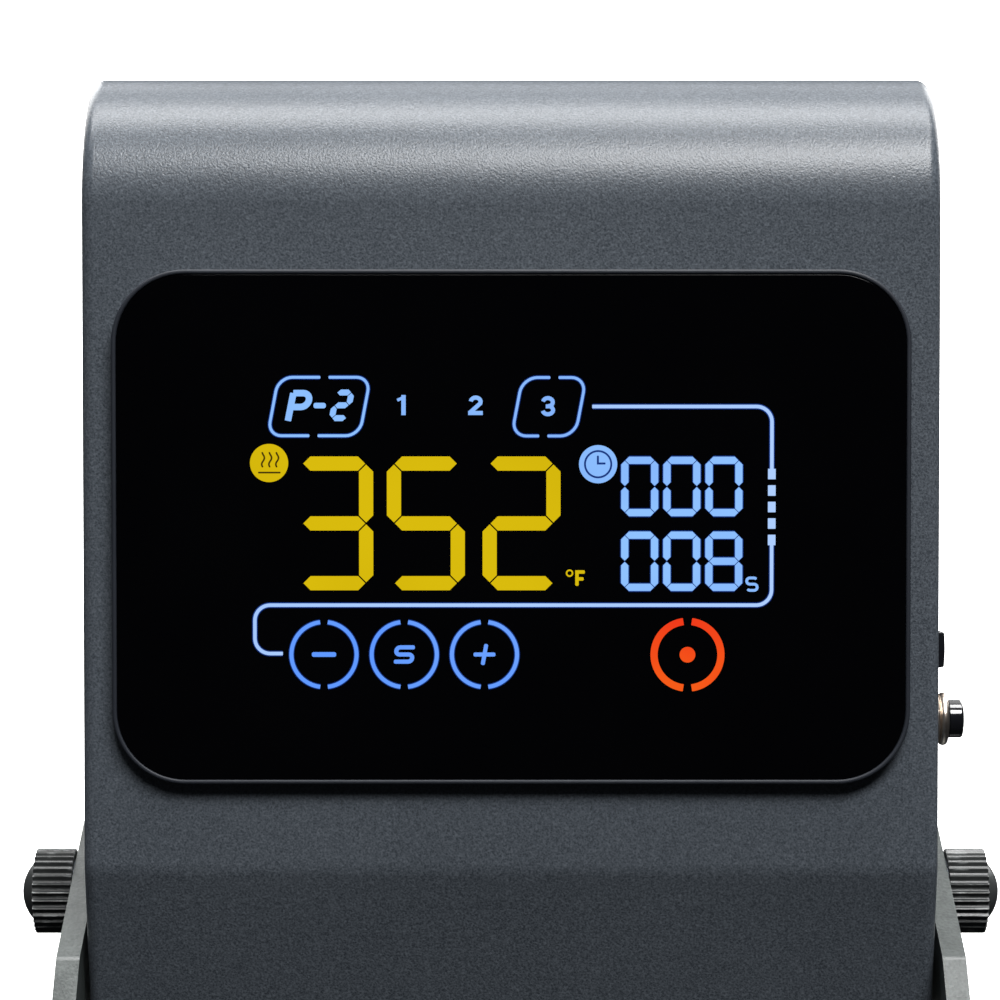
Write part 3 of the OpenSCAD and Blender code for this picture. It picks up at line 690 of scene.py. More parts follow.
def turned(profile: Sequence[tuple[float, float]], steps: int = 64) -> bmesh.types.BMesh:
    """A turned solid about the X axis from a profile of (x, radius) pairs, in millimetres.

    Args:
        profile: From one end of the axis to the other; a radius of 0 closes the end.
        steps: Facets round the axis.

    Returns:
        The closed solid.
    """
    bm = bmesh.new()
    points = [bm.verts.new((x * MM, r * MM, 0)) for x, r in profile]
    edges = [bm.edges.new(pair) for pair in zip(points, points[1:])]
    bmesh.ops.spin(
        bm,
        geom=[*points, *edges],
        cent=(0, 0, 0),
        axis=(1, 0, 0),
        angle=math.tau,
        steps=steps,
        use_merge=True,
    )
    bmesh.ops.remove_doubles(bm, verts=bm.verts, dist=MERGE_DISTANCE)
    bmesh.ops.recalc_face_normals(bm, faces=bm.faces)
    return bm


def turned_ring(profile: Sequence[tuple[float, float]], steps: int = 64) -> bmesh.types.BMesh:
    """A turned ring about the X axis from a closed profile of (x, radius) pairs, in millimetres."""
    return turned([*profile, profile[0]], steps)


# ---- Head shell ----


@dataclass
class HeadShell:
    """The painted sheet enclosure: rolled top, flat face, chin, sides, and a recess for the rear cover."""

    shop: Workshop
    roll_r: float = 28.6
    chin_angle: float = 16.0
    break_r: float = 10.0
    break_z: float = 10.2
    rear_r: float = 10.0
    foot_r: float = 6.0
    edge_r: float = 2.7
    wall: float = 1.5
    cover_t: float = 1.5
    lip_w: float = 9.0
    fit_gap: float = 0.3
    window_margin: float = 16.0
    window_r: float = 8.0
    bolt_hole_r: float = 3.3
    bush_hole_r: float = 4.75
    switch_rim: float = 1.0
    half_w: float = field(init=False)
    face: float = field(init=False)
    back: float = field(init=False)
    foot: float = field(init=False)
    top: float = field(init=False)

    def __post_init__(self) -> None:
        """Takes the outer sizes from the CAD shell, in millimetres."""
        low, high = self.shop.head.box("front_shell")
        self.half_w = high.x / MM
        self.face, self.back = low.y / MM, high.y / MM
        self.foot, self.top = low.z / MM, high.z / MM

    def outline(self, inset: float, back: float) -> list[tuple[tuple[float, float], float]]:
        """Corners of the side outline, each as (y, z) and the radius that rounds it.

        Args:
            inset: How far the outline is shrunk inwards.
            back: The outline's rear plane.

        Returns:
            Five corners, from the chin break round over the top.
        """
        chin = math.radians(self.chin_angle)
        toe_z = self.foot + inset
        toe_y = self.face + (inset + (self.break_z - toe_z) * math.sin(chin)) / math.cos(chin)
        return [
            ((self.face + inset, self.break_z + inset * math.tan(chin / 2)), self.break_r - inset),
            ((self.face + inset, self.top - inset), self.roll_r - inset),
            ((back, self.top - inset), self.rear_r - inset),
            ((back, self.foot + inset), self.foot_r - inset),
            ((toe_y, toe_z), self.foot_r - inset),
        ]

    def solid(self, inset: float, half_w: float, back: float, edge_r: float) -> bmesh.types.BMesh:
        """The head's closed outer form, or its hollow.

        Args:
            inset: How far inside the outer surface it lies.
            half_w: Half its width.
            back: Its rear plane.
            edge_r: Radius between the sides and the wrap.

        Returns:
            The solid, in head coordinates.
        """
        bm = bmesh.new()
        corners = self.outline(inset, back)
        ring = [bm.verts.new((-half_w * MM, y * MM, z * MM)) for (y, z), _ in corners]
        extruded(bm, [bm.faces.new(ring)], (2 * half_w * MM, 0, 0))
        for (y, z), radius in corners:
            edge = next(
                e for e in bm.edges if all(math.dist(v.co.yz, (y * MM, z * MM)) < NEAR for v in e.verts)
            )
            flat = [f.normal for f in edge.link_faces]
            setback = radius * math.tan(flat[0].angle(flat[1]) / 2)
            rounded_edges(bm, [edge], setback * MM, max(6, round(radius * 1.6)))
        full_w = 2 * half_w * MM
        rim = [e for e in bm.edges if abs(abs(e.verts[0].co.x + e.verts[1].co.x) - full_w) < NEAR]
        rounded_edges(bm, rim, edge_r * MM, 7)
        return bm

    def hollow(self, lip_front: float) -> bmesh.types.BMesh:
        """The space inside the sheet, cut off flat behind at the cover's lip.

        Args:
            lip_front: Where it ends.

        Returns:
            The closed space, in head coordinates.
        """
        bm = self.solid(self.wall, self.half_w - self.wall, self.back - self.wall, self.edge_r - self.wall)
        cut_away = bmesh.ops.bisect_plane(
            bm,
            geom=[*bm.verts, *bm.edges, *bm.faces],
            plane_co=(0, lip_front * MM, 0),
            plane_no=(0, 1, 0),
            clear_outer=True,
        )
        rim = [e for e in cut_away["geom_cut"] if isinstance(e, bmesh.types.BMEdge)]
        bmesh.ops.edgeloop_fill(bm, edges=rim)
        return bm

    def build(self) -> None:
        """Builds the shell and the rear cover."""
        shop, head = self.shop, self.shop.head
        glass_low, glass_high = head.box("touch_glass")
        glass_w = (glass_high.x - glass_low.x) / MM
        glass_h = (glass_high.z - glass_low.z) / MM
        glass_z = (glass_high.z + glass_low.z) / 2 / MM
        inner_side = self.half_w - self.wall
        lip_back = self.back - self.cover_t
        lip_front = lip_back - self.wall
        recess_x = self.half_w - self.edge_r
        cover_low, cover_high = (c.z / MM for c in head.box("rear_cover"))
        rocker_low, rocker_high = head.box("rocker_switch_body")
        bush_low, bush_high = head.box("breaker_washer")
        bush_y, bush_z = ((bush_low[i] + bush_high[i]) / 2 / MM for i in (1, 2))
        over = 1.0
        side_in, side_out = inner_side - over, self.half_w + over
        recess = block(
            (-recess_x, lip_back, cover_low - self.fit_gap),
            (recess_x, self.back + over, cover_high + self.fit_gap),
        )
        opening = block(
            (-recess_x + self.lip_w, lip_front - over, cover_low + self.lip_w),
            (recess_x - self.lip_w, self.back + over, cover_high - self.lip_w),
        )
        window = rounded_plate(
            glass_w - self.window_margin,
            glass_h - self.window_margin,
            self.window_r,
            self.face - over,
            self.face + self.wall + over,
            glass_z,
        )
        rim = self.switch_rim
        switch_hole = block(
            (side_in, rocker_low.y / MM + rim, rocker_low.z / MM + rim),
            (side_out, rocker_high.y / MM - rim, rocker_high.z / MM - rim),
        )
        cutters = [
            self.hollow(lip_front),
            recess,
            opening,
            window,
            rod_along_x(side_in, side_out, self.bolt_hole_r),
            rod_along_x(-side_out, -side_in, self.bolt_hole_r),
            rod_along_x(side_in, side_out, self.bush_hole_r, bush_y, bush_z),
            switch_hole,
        ]
        bm = cut(self.solid(0, self.half_w, self.back, self.edge_r), cutters)
        shell = shop.finished(
            "front_shell_painted", bm, "head", HEAD_COAT, "shell_paint", head.matrix, ["front_shell"]
        )
        soften(shell, 0)
        shop.refined("rear_cover", 0.35)
        shop.refined("rear_cover_screws", 0.15)


# ---- Display ----


Path = list[tuple[float, float]]


@dataclass
class Drawing:
    """Flat symbols drawn on the glass in millimetres, about the glass's middle."""

    shop: Workshop
    plane_y: float
    centre_z: float
    film: float = 0.025

    def _up(self, x: float, z: float) -> Vector:
        """A point of the drawing in head coordinates, in metres."""
        return Vector((x * MM, self.plane_y * MM, (self.centre_z + z) * MM))

    def strokes(
        self,
        name: str,
        paths: Sequence[Path],
        width: float,
        light: Lit,
        rounded: float = 0.35,
        closed: bool = False,
        raised: int = 0,
    ) -> None:
        """Draws lines of one width.

        Args:
            name: The piece's name.
            paths: Each line's points.
            width: Their width.
            light: Their finish.
            rounded: How far the ends are rounded, as a share of the width.
            closed: Whether each line ends where it starts.
            raised: How many films it lies in front of the glass, over others.
        """
        bm = bmesh.new()
        film = self.film * MM
        lift = Vector((0, -film * raised, 0))
        tips = [] if closed else [self._up(*point) for path in paths for point in (path[0], path[-1])]
        for path in paths:
            points = [bm.verts.new(self._up(x, z) + lift) for x, z in path]
            pairs = list(zip(points, points[1:])) + ([(points[-1], points[0])] if closed else [])
            edges = [bm.edges.new(pair) for pair in pairs]
            wall = bmesh.ops.extrude_edge_only(bm, edges=edges)["geom"]
            moved = [v for v in wall if isinstance(v, bmesh.types.BMVert)]
            bmesh.ops.translate(bm, verts=moved, vec=(0, -film, 0))
        mesh = bpy.data.meshes.new(name)
        bm.to_mesh(mesh)
        bm.free()
        ribbon = bpy.data.objects.new(name, mesh)
        bpy.context.scene.collection.objects.link(ribbon)
        thick = ribbon.modifiers.new("width", "SOLIDIFY")
        thick.thickness = width * MM
        thick.offset = 0
        thick.use_even_offset = True
        thick.thickness_clamp = 0
        applied(ribbon)
        bm = bmesh.new()
        bm.from_mesh(ribbon.data)
        mesh = ribbon.data
        bpy.data.objects.remove(ribbon)
        bpy.data.meshes.remove(mesh)
        bmesh.ops.recalc_face_normals(bm, faces=bm.faces)
        if rounded > 0:
            ends = [
                e
                for e in bm.edges
                if abs((e.verts[0].co - e.verts[1].co).normalized().y) > 0.99
                and any(abs(math.dist(e.verts[0].co.xz, t.xz) - width / 2 * MM) < MM / 200 for t in tips)
            ]
            rounded_edges(bm, ends, rounded * width * MM, 4)
        self._finish(name, bm, light)

    def shapes(self, name: str, outlines: Sequence[Path], light: Lit, raised: int = 0) -> None:
        """Draws filled outlines.

        Args:
            name: The piece's name.
            outlines: Each outline's points.
            light: Their finish.
            raised: How many films it lies in front of the glass, over others.
        """
        bm = bmesh.new()
        film = self.film * MM
        lift = Vector((0, -film * raised, 0))
        for outline in outlines:
            bm.faces.new([bm.verts.new(self._up(x, z) + lift) for x, z in outline])
        extruded(bm, list(bm.faces), (0, -film, 0))
        self._finish(name, bm, light)

    def _finish(self, name: str, bm: bmesh.types.BMesh, light: Lit) -> None:
        """Hands a drawn symbol to the workshop."""
        self.shop.finished(name, bm, "head", light, place=self.shop.head.matrix)


SEGMENTS = {
    "0": "abcdef",
    "2": "abged",
    "3": "abgcd",
    "5": "afgcd",
    "8": "abcdefg",
}


def segment_digit(
    digit: str, centre: tuple[float, float], width: float, height: float, stroke: float, gap: float
) -> list[Path]:
    """The lit bars of a seven-segment digit.

    Args:
        digit: The digit.
        centre: Its middle.
        width: Its full width.
        height: Its full height.
        stroke: The bars' width.
        gap: The dark line between neighbouring bars.

    Returns:
        One pointed hexagon for each lit bar.
    """
    half = stroke / 2
    side, level = width / 2 - half, height / 2 - half
    ends = {
        "a": ((-side, level), (side, level)),
        "b": ((side, level), (side, 0)),
        "c": ((side, 0), (side, -level)),
        "d": ((-side, -level), (side, -level)),
        "e": ((-side, 0), (-side, -level)),
        "f": ((-side, level), (-side, 0)),
        "g": ((-side, 0), (side, 0)),
    }
    bars = []
    for name in SEGMENTS[digit]:
        (x0, z0), (x1, z1) = ends[name]
        along = Vector((x1 - x0, z1 - z0)).normalized() * half
        across = Vector((-along.y, along.x))
        trim = along.normalized() * gap / math.sqrt(2)
        start, end = Vector((x0, z0)) + trim, Vector((x1, z1)) - trim
        ring = [
            start,
            start + along + across,
            end - along + across,
            end,
            end - along - across,
            start + along - across,
        ]
        bars.append([(centre[0] + p.x, centre[1] + p.y) for p in ring])
    return bars


def slanted_frame(
    centre: tuple[float, float], width: float, height: float, radius: float, gap: float
) -> list[Path]:
    """The two halves of a leaning round-cornered frame, open in the middle of its top and bottom.

    Args:
        centre: Its middle.
        width: Its width.
        height: Its height.
        radius: Of its corners.
        gap: Width of the openings.

    Returns:
        A path for the left half and one for the right.
    """
    slant = 0.19
    x, z = centre
    w, h, g = width / 2, height / 2, gap / 2
    left = [
        (x - g, z + h),
        *arc((x - w + radius, z + h - radius), radius, 90, 180, 8),
        *arc((x - w + radius, z - h + radius), radius, 180, 270, 8),
        (x - g, z - h),
    ]
    right = [(2 * x - px, pz) for px, pz in left]
    return [sheared(left, slant, z), sheared(right, slant, z)]


def split_ring(centre: tuple[float, float], radius: float, gap: float, steps: int = 48) -> list[Path]:
    """The two halves of a ring that is open at its top and bottom."""
    open_angle = math.degrees(gap / 2 / radius)
    return [
        arc(centre, radius, 90 + open_angle, 270 - open_angle, steps),
        arc(centre, radius, 90 - open_angle, -90 + open_angle, steps),
    ]


def disc(centre: tuple[float, float], radius: float, steps: int = 48) -> Path:
    """A filled circle's outline."""
    return arc(centre, radius, 0, 360, steps)[:-1]


def letter_s(centre: tuple[float, float], width: float, height: float) -> Path:
    """The line of a rounded letter s."""
    x, z = centre
    w, r = width / 2, height / 4
    return [
        *arc((x + w - r * 1.1, z + r), r, 35, 90, 4),
        *arc((x - w + r, z + r), r, 90, 270, 10),
        *arc((x + w - r, z - r), r, 90, -90, 10),
        *arc((x - w + r * 1.1, z - r), r, 270, 215, 4),
    ]


@dataclass
class DisplayPanel:
    """The raised bezel, the black glass, what is lit on it, and the display parts behind it."""

    shop: Workshop
    badge_r: float = 4.0
    symbol_slant: float = 0.2

    def build(self) -> None:
        """Builds the panel from its bezel inwards."""
        shop = self.shop
        shop.refined("display_bezel", 0.4, segments=4)
        shop.refined("bezel_gasket", 0.1)
        shop.refined("touch_glass", 0.08)
        low, high = shop.head.box("touch_glass")
        drawing = Drawing(shop, low.y / MM, (low.z + high.z) / 2 / MM)
        self.readings(drawing)
        self.top_row(drawing)
        self.trace(drawing)
        self.keys(drawing)
        for node in ("lcd_panel", "backlight", "display_board", "touch_springs"):
            shop.refined(node, 0.1)
        for node in ("display_board_standoffs", "display_board_screws", "buzzer"):
            shop.refined(node, 0.15)

    def readings(self, drawing: Drawing) -> None:
        """The large temperature, the two counters and their badges."""
        places = zip((-37.0, -17.85, 2.15), "352")
        large = [bar for x, d in places for bar in segment_digit(d, (x, 0.87), 16.3, 28.0, 2.97, 0.28)]
        drawing.shapes("temperature_digits", large, YELLOW_LIGHT)
        columns = (26.85, 35.65, 44.45)
        for row, digits, z in (("upper", "000", 8.6), ("lower", "008", -7.05)):
            cells = [(d, (x, z)) for x, d in zip(columns, digits)]
            glow = [bar for d, at in cells for bar in segment_digit(d, at, 8.15, 12.85, 1.9, 0)]
            bars = [bar for d, at in cells for bar in segment_digit(d, at, 7.75, 12.45, 1.52, 0.16)]
            drawing.shapes(f"{row}_counter_glow", glow, BLUE_BLEED)
            drawing.shapes(f"{row}_counter_digits", bars, BLUE_LIGHT, raised=1)
        drawing.strokes("seconds_mark", [letter_s((50.35, -11.85), 2.2, 2.6)], 0.58, BLUE_LIGHT)
        degree = [disc((12.2, -9.55), 0.62, 24)]
        drawing.strokes("degree_ring", degree, 0.33, YELLOW_LIGHT, rounded=0, closed=True)
        letter = [[(13.75, -12.2), (13.75, -9.3), (15.4, -9.3)], [(13.75, -10.75), (15.15, -10.75)]]
        drawing.strokes("fahrenheit_mark", letter, 0.72, YELLOW_LIGHT)
        drawing.shapes("heat_badge", [disc((-50.6, 13.5), self.badge_r)], YELLOW_LIGHT)
        waves = [
            [(x + 0.12 * i / 16 - 0.26 * math.sin(math.tau * i / 13), 12.6 + 3.2 * i / 16) for i in range(17)]
            for x in (-51.9, -50.4, -48.95)
        ]
        drawing.strokes("heat_waves", [*waves, [(-52.9, 11.5), (-48.2, 11.5)]], 0.36, AMBER_INK, raised=1)
        clock = (18.15, 13.25)
        drawing.shapes("clock_badge", [disc(clock, self.badge_r)], BLUE_LIGHT)
        drawing.strokes("clock_dial", [disc(clock, 2.75)], 0.4, BLUE_BLEED, rounded=0, closed=True, raised=1)
        hands = [[(18.1, 15.05), (18.1, 13.4), (19.7, 13.4)]]
        drawing.strokes("clock_hands", hands, 0.42, BLUE_BLEED, raised=1)

    def top_row(self, drawing: Drawing) -> None:
        """The programme number and the three stages."""
        frames = [
            *slanted_frame((-40.15, 25.3), 19.2, 12.2, 2.9, 1.7),
            *slanted_frame((7.85, 25.25), 13.3, 12.2, 3.1, 1.7),
        ]
        drawing.strokes("stage_frames_glow", frames, 0.95, BLUE_BLEED)
        drawing.strokes("stage_frames", frames, 0.58, BLUE_LIGHT, raised=1)
        mid, slant = 25.55, self.symbol_slant
        stem = [(-46.0, 22.3), (-46.0, 28.1)]
        bowl = [(-46.0, 28.1), *arc((-43.9, 26.65), 1.45, 90, -90, 10), (-46.0, 25.2)]
        letter = [sheared(stem, slant, mid), sheared(bowl, slant, mid)]
        drawing.strokes("programme_letter", letter, 1.35, BLUE_LIGHT, 0.12)
        drawing.strokes("programme_hyphen", [[(-41.3, 25.5), (-38.7, 25.5)]], 1.15, BLUE_LIGHT, 0.42)
        two = [sheared(bar, slant, mid) for bar in segment_digit("2", (-35.4, mid), 4.3, 6.6, 1.25, 0.14)]
        drawing.shapes("programme_number", two, BLUE_LIGHT)
        stem = [(-22.5, 27.7), (-22.5, 23.5)]
        drawing.strokes("stage_one_stem", [stem], 0.92, BLUE_LIGHT, 0.05)
        drawing.strokes("stage_one_flag", [[(-22.6, 27.15), (-23.8, 26.6)]], 0.62, BLUE_LIGHT, 0.05)
        two = [*arc((-7.42, 26.3), 1.02, 175, -25, 12, 0.85), (-8.55, 24.1)]
        drawing.strokes("stage_two", [two, [(-9.0, 23.95), (-5.95, 23.95)]], 0.86, BLUE_LIGHT, 0.05)
        three = [
            [*arc((7.65, 26.2), 1.02, 170, -90, 14, 0.85), (7.2, 25.33)],
            arc((7.65, 24.55), 1.08, 90, -170, 14, 0.8),
        ]
        drawing.strokes("stage_three", three, 0.84, BLUE_LIGHT, 0.05)

    def trace(self, drawing: Drawing) -> None:
        """The pale line that runs round the counters and back to the first key, with its row of ticks."""
        bend, left, right = 3.2, -53.65, 54.45
        high, low, end = 25.3, -16.25, -26.4
        upper = [(16.9, high), *arc((right - bend, high - bend), bend, 90, 0, 10), (right, 11.8)]
        lower = [
            (right, -3.4),
            *arc((right - bend, low + bend), bend, 0, -90, 10),
            *arc((left + bend, low - bend), bend, 90, 180, 10),
            *arc((left + bend, end + bend), bend, 180, 270, 10),
            (-47.8, end),
        ]
        drawing.strokes("trace_glow", [upper, lower], 1.15, BLUE_BLEED, 0.2)
        drawing.strokes("trace_line", [upper, lower], 0.74, PALE_LIGHT, 0.2, raised=1)
        ticks = [[(right, 12.3 - 3.45 * i), (right, 10.1 - 3.45 * i)] for i in range(5)]
        drawing.strokes("trace_ticks", ticks, 1.6, PALE_LIGHT, 0.06, raised=1)

    def keys(self, drawing: Drawing) -> None:
        """The three setting keys and the power key."""
        z = -26.6
        rings = [half for x in (-39.2, -22.4, -5.6) for half in split_ring((x, z), 6.82, 1.6)]
        drawing.strokes("setting_key_glow", rings, 1.2, BLUE_BLEED, 0.06)
        drawing.strokes("setting_key_rings", rings, 0.84, KEY_LIGHT, 0.06, raised=1)
        minus = [(-41.75, z), (-36.65, z)]
        plus = [[(-7.9, z), (-3.3, z)], sheared([(-5.6, z + 2.2), (-5.6, z - 2.2)], 0.18, z)]
        drawing.strokes("minus_mark", [minus], 1.0, KEY_LIGHT, 0.4)
        drawing.strokes("plus_mark", plus, 0.84, KEY_LIGHT, 0.4)
        ess = [
            (-20.35, z + 1.5),
            *arc((-23.4, z + 0.75), 0.75, 90, 270, 8),
            *arc((-21.4, z - 0.75), 0.75, 90, -90, 8),
            (-24.4, z - 1.5),
        ]
        drawing.strokes("set_mark", [sheared(ess, 0.12, z)], 0.86, KEY_LIGHT, 0.4)
        power = (36.9, z - 0.05)
        drawing.strokes("power_key_ring", split_ring(power, 7.0, 1.75), 1.5, POWER_LIGHT, 0.04)
        drawing.shapes("power_key_dot", [disc(power, 1.65, 32)], POWER_LIGHT)


# ---- Side controls ----


@dataclass
class SideControls:
    """The power rocker and the reset breaker on the right side of the head."""

    shop: Workshop
    rocker_tip: float = 12.0
    rocker_half_l: float = 7.7
    rocker_half_w: float = 3.95
    rocker_crown: float = 0.22
    rocker_pin_r: float = 1.2
    nut_bore_r: float = 4.65
    nut_bead: float = 0.75
    stem_r: float = 2.6
    cap_l: float = 3.5
    cap_edge_r: float = 0.6

    def build(self) -> None:
        """Builds the rocker, its switch, the breaker and its button."""
        shop = self.shop
        shop.refined("rocker_switch_body", 0.4, segments=3)
        self.rocker()
        shop.refined("breaker_body", 0.2)
        shop.refined("breaker_washer", 0.1)
        self.ring_nut()
        self.reset_button()

    def rocker(self) -> None:
        """The rocker: a crowned paddle on two pins, tipped with its front half out."""
        joint = next(j for j in self.shop.frame["joints"] if j["name"] == "power_rocker_tip")
        pivot = self.shop.head.matrix.inverted() @ Vector(joint["pos_m"])
        low, high = self.shop.head.box("rocker")
        pin_l = high.z - low.z
        half, crown_from = self.rocker_half_l, 4 * MM
        half_w, crown = self.rocker_half_w * MM, self.rocker_crown * MM
        face = [(-3.0, -half + 2.4), (1.2, -half), (5.1, -half + 0.6), (5.85, -half + 1.5), (5.45, 0)]
        outline = face + [(x, -y) for x, y in reversed(face[:-1])]
        bm = bmesh.new()
        flank = bm.faces.new([bm.verts.new((x * MM, y * MM, -half_w)) for x, y in outline])
        extruded(bm, [flank], (0, 0, 2 * half_w))
        ribs = [e for e in bm.edges if abs(e.verts[0].co.z - e.verts[1].co.z) > MM]
        bmesh.ops.subdivide_edges(bm, edges=ribs, cuts=7, use_grid_fill=True)
        for vert in bm.verts:
            if vert.co.x > crown_from:
                vert.co.x -= crown * (vert.co.z / half_w) ** 2
        pin_r = self.rocker_pin_r * MM
        bmesh.ops.create_cone(bm, cap_ends=True, segments=24, radius1=pin_r, radius2=pin_r, depth=pin_l)
        place = (
            self.shop.head.matrix
            @ Matrix.Translation(pivot)
            @ Matrix.Rotation(math.radians(self.rocker_tip), 4, "Z")
        )
        rocker = self.shop.finished(
            "rocker_paddle", bm, "power_rocker", GLOSS_ABS, "gloss_black", place, ["rocker"]
        )
        soften(rocker, 0.35, 3)

    def ring_nut(self) -> None:
        """The breaker's ring nut: two round-crested ridges, as a rolled thread shows."""
        low, high = self.shop.head.box("breaker_ring_nut")
        x0, x1 = low.x / MM, high.x / MM
        foot_r = (high.z - low.z) / 2 / MM - self.nut_bead
        mid, quarter = (x0 + x1) / 2, (x1 - x0) / 4
        tall = self.nut_bead / quarter
        inner = arc((mid - quarter, foot_r), quarter, 180, 0, 8, tall)
        outer = arc((mid + quarter, foot_r), quarter, 180, 0, 8, tall)
        profile = [(x0, self.nut_bore_r), *inner, *outer[1:], (x1, self.nut_bore_r)]
        bm = turned_ring(profile, 72)
        self._at_breaker("breaker_ring_nut_turned", bm, "breaker_ring_nut", NICKEL_BRASS, "head")

    def reset_button(self) -> None:
        """The reset button: a stem and a slightly domed cap with a soft rim."""
        low, high = self.shop.head.box("reset_button")
        x0, x1 = low.x / MM, high.x / MM
        radius = (high.z - low.z) / 2 / MM
        cap_in, ease, stem_r, edge_r = x1 - self.cap_l, 0.25, self.stem_r, self.cap_edge_r
        profile = [(x0, 0), (x0, stem_r), (cap_in, stem_r), (cap_in, radius - ease), (cap_in + ease, radius)]
        profile += arc((x1 - 0.95, radius - edge_r), edge_r, 90, 12, 6)
        profile += [(x1 - 0.22, radius * 0.72), (x1 - 0.06, radius * 0.4), (x1, 0)]
        bm = turned(profile, 64)
        self._at_breaker("reset_button_cap", bm, "reset_button", GLOSS_ABS, "reset_key")

    def _at_breaker(self, name: str, bm: bmesh.types.BMesh, node: str, finish: Finish, body: str) -> None:
        """Moves a turned piece onto the breaker's axis and finishes it."""
        low, high = self.shop.head.box(node)
        offset = Vector((0, (low.y + high.y) / 2, (low.z + high.z) / 2))
        bmesh.ops.translate(bm, verts=bm.verts, vec=offset)
        piece = self.shop.finished(
            name, bm, body, finish, self.shop.slots[node], self.shop.head.matrix, [node]
        )
        soften(piece, 0)


# ---- Clamp knobs ----


class Side(Enum):
    """A side of the head, with the sign of its X."""

    LEFT = -1
    RIGHT = 1


@dataclass
class ClampKnob:
    """One knurled clamp knob with its domed cap, bolt and washers."""

    shop: Workshop
    side: Side
    ridges: int = 32
    ridge_d: float = 0.75
    ridge_share: float = 0.19
    steps_per_ridge: int = 12
    end_ease: float = 0.15
    bore_r: float = 3.05
    pocket_r: float = 5.75
    pocket_d: float = 4.8
    cap_plug_r: float = 4.6
    cap_foot_r: float = 6.9

    @property
    def tag(self) -> str:
        """The side's name, as the nodes use it."""
        return self.side.name.lower()

    def build(self) -> None:
        """Builds the clamp from its washers outwards."""
        shop = self.shop
        shop.refined(f"friction_washer_{self.tag}", 0.15)
        shop.refined(f"pivot_boss_{self.tag}", 0.3)
        shop.refined(f"clamp_washer_{self.tag}", 0.2)
        shop.refined(f"clamp_bolt_{self.tag}", 0.25)
        self.ring()
        self.cap()

    def _span(self, node: str) -> tuple[float, float, float]:
        """A node's inner and outer distance along X and its radius, in millimetres."""
        low, high = self.shop.head.box(node)
        near, far = sorted((abs(low.x), abs(high.x)))
        return near / MM, far / MM, (high.z - low.z) / 2 / MM

    def _place(self) -> Matrix:
        """Takes a knob drawn along +X to its side of the head."""
        return self.shop.head.matrix @ Matrix.Scale(self.side.value, 4, (1, 0, 0))

    def ring(self) -> None:
        """The ridged ring: narrow rounded crests, wide grooves, and eased ends."""
        x0, x1, radius = self._span(f"knob_{self.tag}")
        _, washer_out, washer_r = self._span(f"clamp_washer_{self.tag}")
        count = self.ridges * self.steps_per_ridge
        skirt_r, seat_x, pocket_x = washer_r + 0.1, washer_out + 0.05, x1 - self.pocket_d
        ease = self.end_ease
        stations = [
            (x0, skirt_r, False),
            (x0, radius - ease, True),
            (x0 + ease, radius, True),
            (x1 - ease, radius, True),
            (x1, radius - ease, True),
            (x1, self.pocket_r, False),
            (pocket_x, self.pocket_r, False),
            (pocket_x, self.bore_r, False),
            (seat_x, self.bore_r, False),
            (seat_x, skirt_r, False),
        ]
        bm = bmesh.new()
        loops = []
        for x, r, ridged in stations:
            ring = bmesh.ops.create_circle(bm, cap_ends=False, segments=count, radius=r * MM)["verts"]
            for vert in ring:
                angle = math.atan2(vert.co.y, vert.co.x)
                phase = (angle * self.ridges / math.tau) % 1
                crest = math.exp(-(((phase - 0.5) / self.ridge_share) ** 2))
                drop = self.ridge_d * (1 - crest) if ridged else 0
                reach = (r - drop) * MM
                vert.co = Vector((x * MM, reach * math.cos(angle), reach * math.sin(angle)))
            loops.append({e for v in ring for e in v.link_edges})
        for near, far in zip(loops, loops[1:] + loops[:1]):
            bmesh.ops.bridge_loops(bm, edges=list(near | far))
        bmesh.ops.recalc_face_normals(bm, faces=bm.faces)
        self._finish(f"knob_{self.tag}_ring", bm, f"knob_{self.tag}", KNOB_PHENOLIC)

    def cap(self) -> None:
        """The domed cap, with a thin step round its foot."""
        x0, x1, _ = self._span(f"knob_cap_{self.tag}")
        _, knob_out, _ = self._span(f"knob_{self.tag}")
        foot, plug, height = self.cap_foot_r, self.cap_plug_r, x1 - knob_out
        ball = (foot**2 + height**2) / (2 * height)
        peak = math.degrees(math.asin(foot / ball))
        dome = arc((x1 - ball, 0), ball, peak, 0, 14)
        profile = [(x0, 0), (x0, plug), (knob_out, plug), (knob_out, foot), *dome[1:-1], (x1, 0)]
        bm = turned(profile, 72)
        self._finish(f"knob_cap_{self.tag}_dome", bm, f"knob_cap_{self.tag}", KNOB_PHENOLIC)

    def _finish(self, name: str, bm: bmesh.types.BMesh, node: str, finish: Finish) -> None:
        """Puts a piece on its side, faces it outwards and finishes it."""
        bmesh.ops.transform(bm, matrix=self._place(), verts=bm.verts)
        bmesh.ops.recalc_face_normals(bm, faces=bm.faces)
        piece = self.shop.finished(
            name, bm, f"{self.tag}_knob", finish, self.shop.slots[node], replaces=[node]
        )
        soften(piece, 0)


# ---- Yoke, gland and electronics ----


@dataclass
class Yoke:
    """The bolted yoke: base plate, two bent cheeks and their screws."""

    shop: Workshop

    def build(self) -> None:
        """Builds the yoke from its base up."""
        self.shop.refined("base_plate", 0.5)
        for node in ("left_cheek", "right_cheek"):
            self.shop.refined(node, 0.6, segments=3)
        self.shop.refined("cheek_screws", 0.25)


@dataclass
class CableGland:
    """The cable gland in the rear cover."""

    shop: Workshop

    def build(self) -> None:
        """Builds the gland from its locknut outwards."""
        for node in ("cable_gland_locknut", "cable_gland_body", "cable_gland_nut"):
            self.shop.refined(node, 0.35)
        self.shop.refined("cable_gland_seal", 0.2)


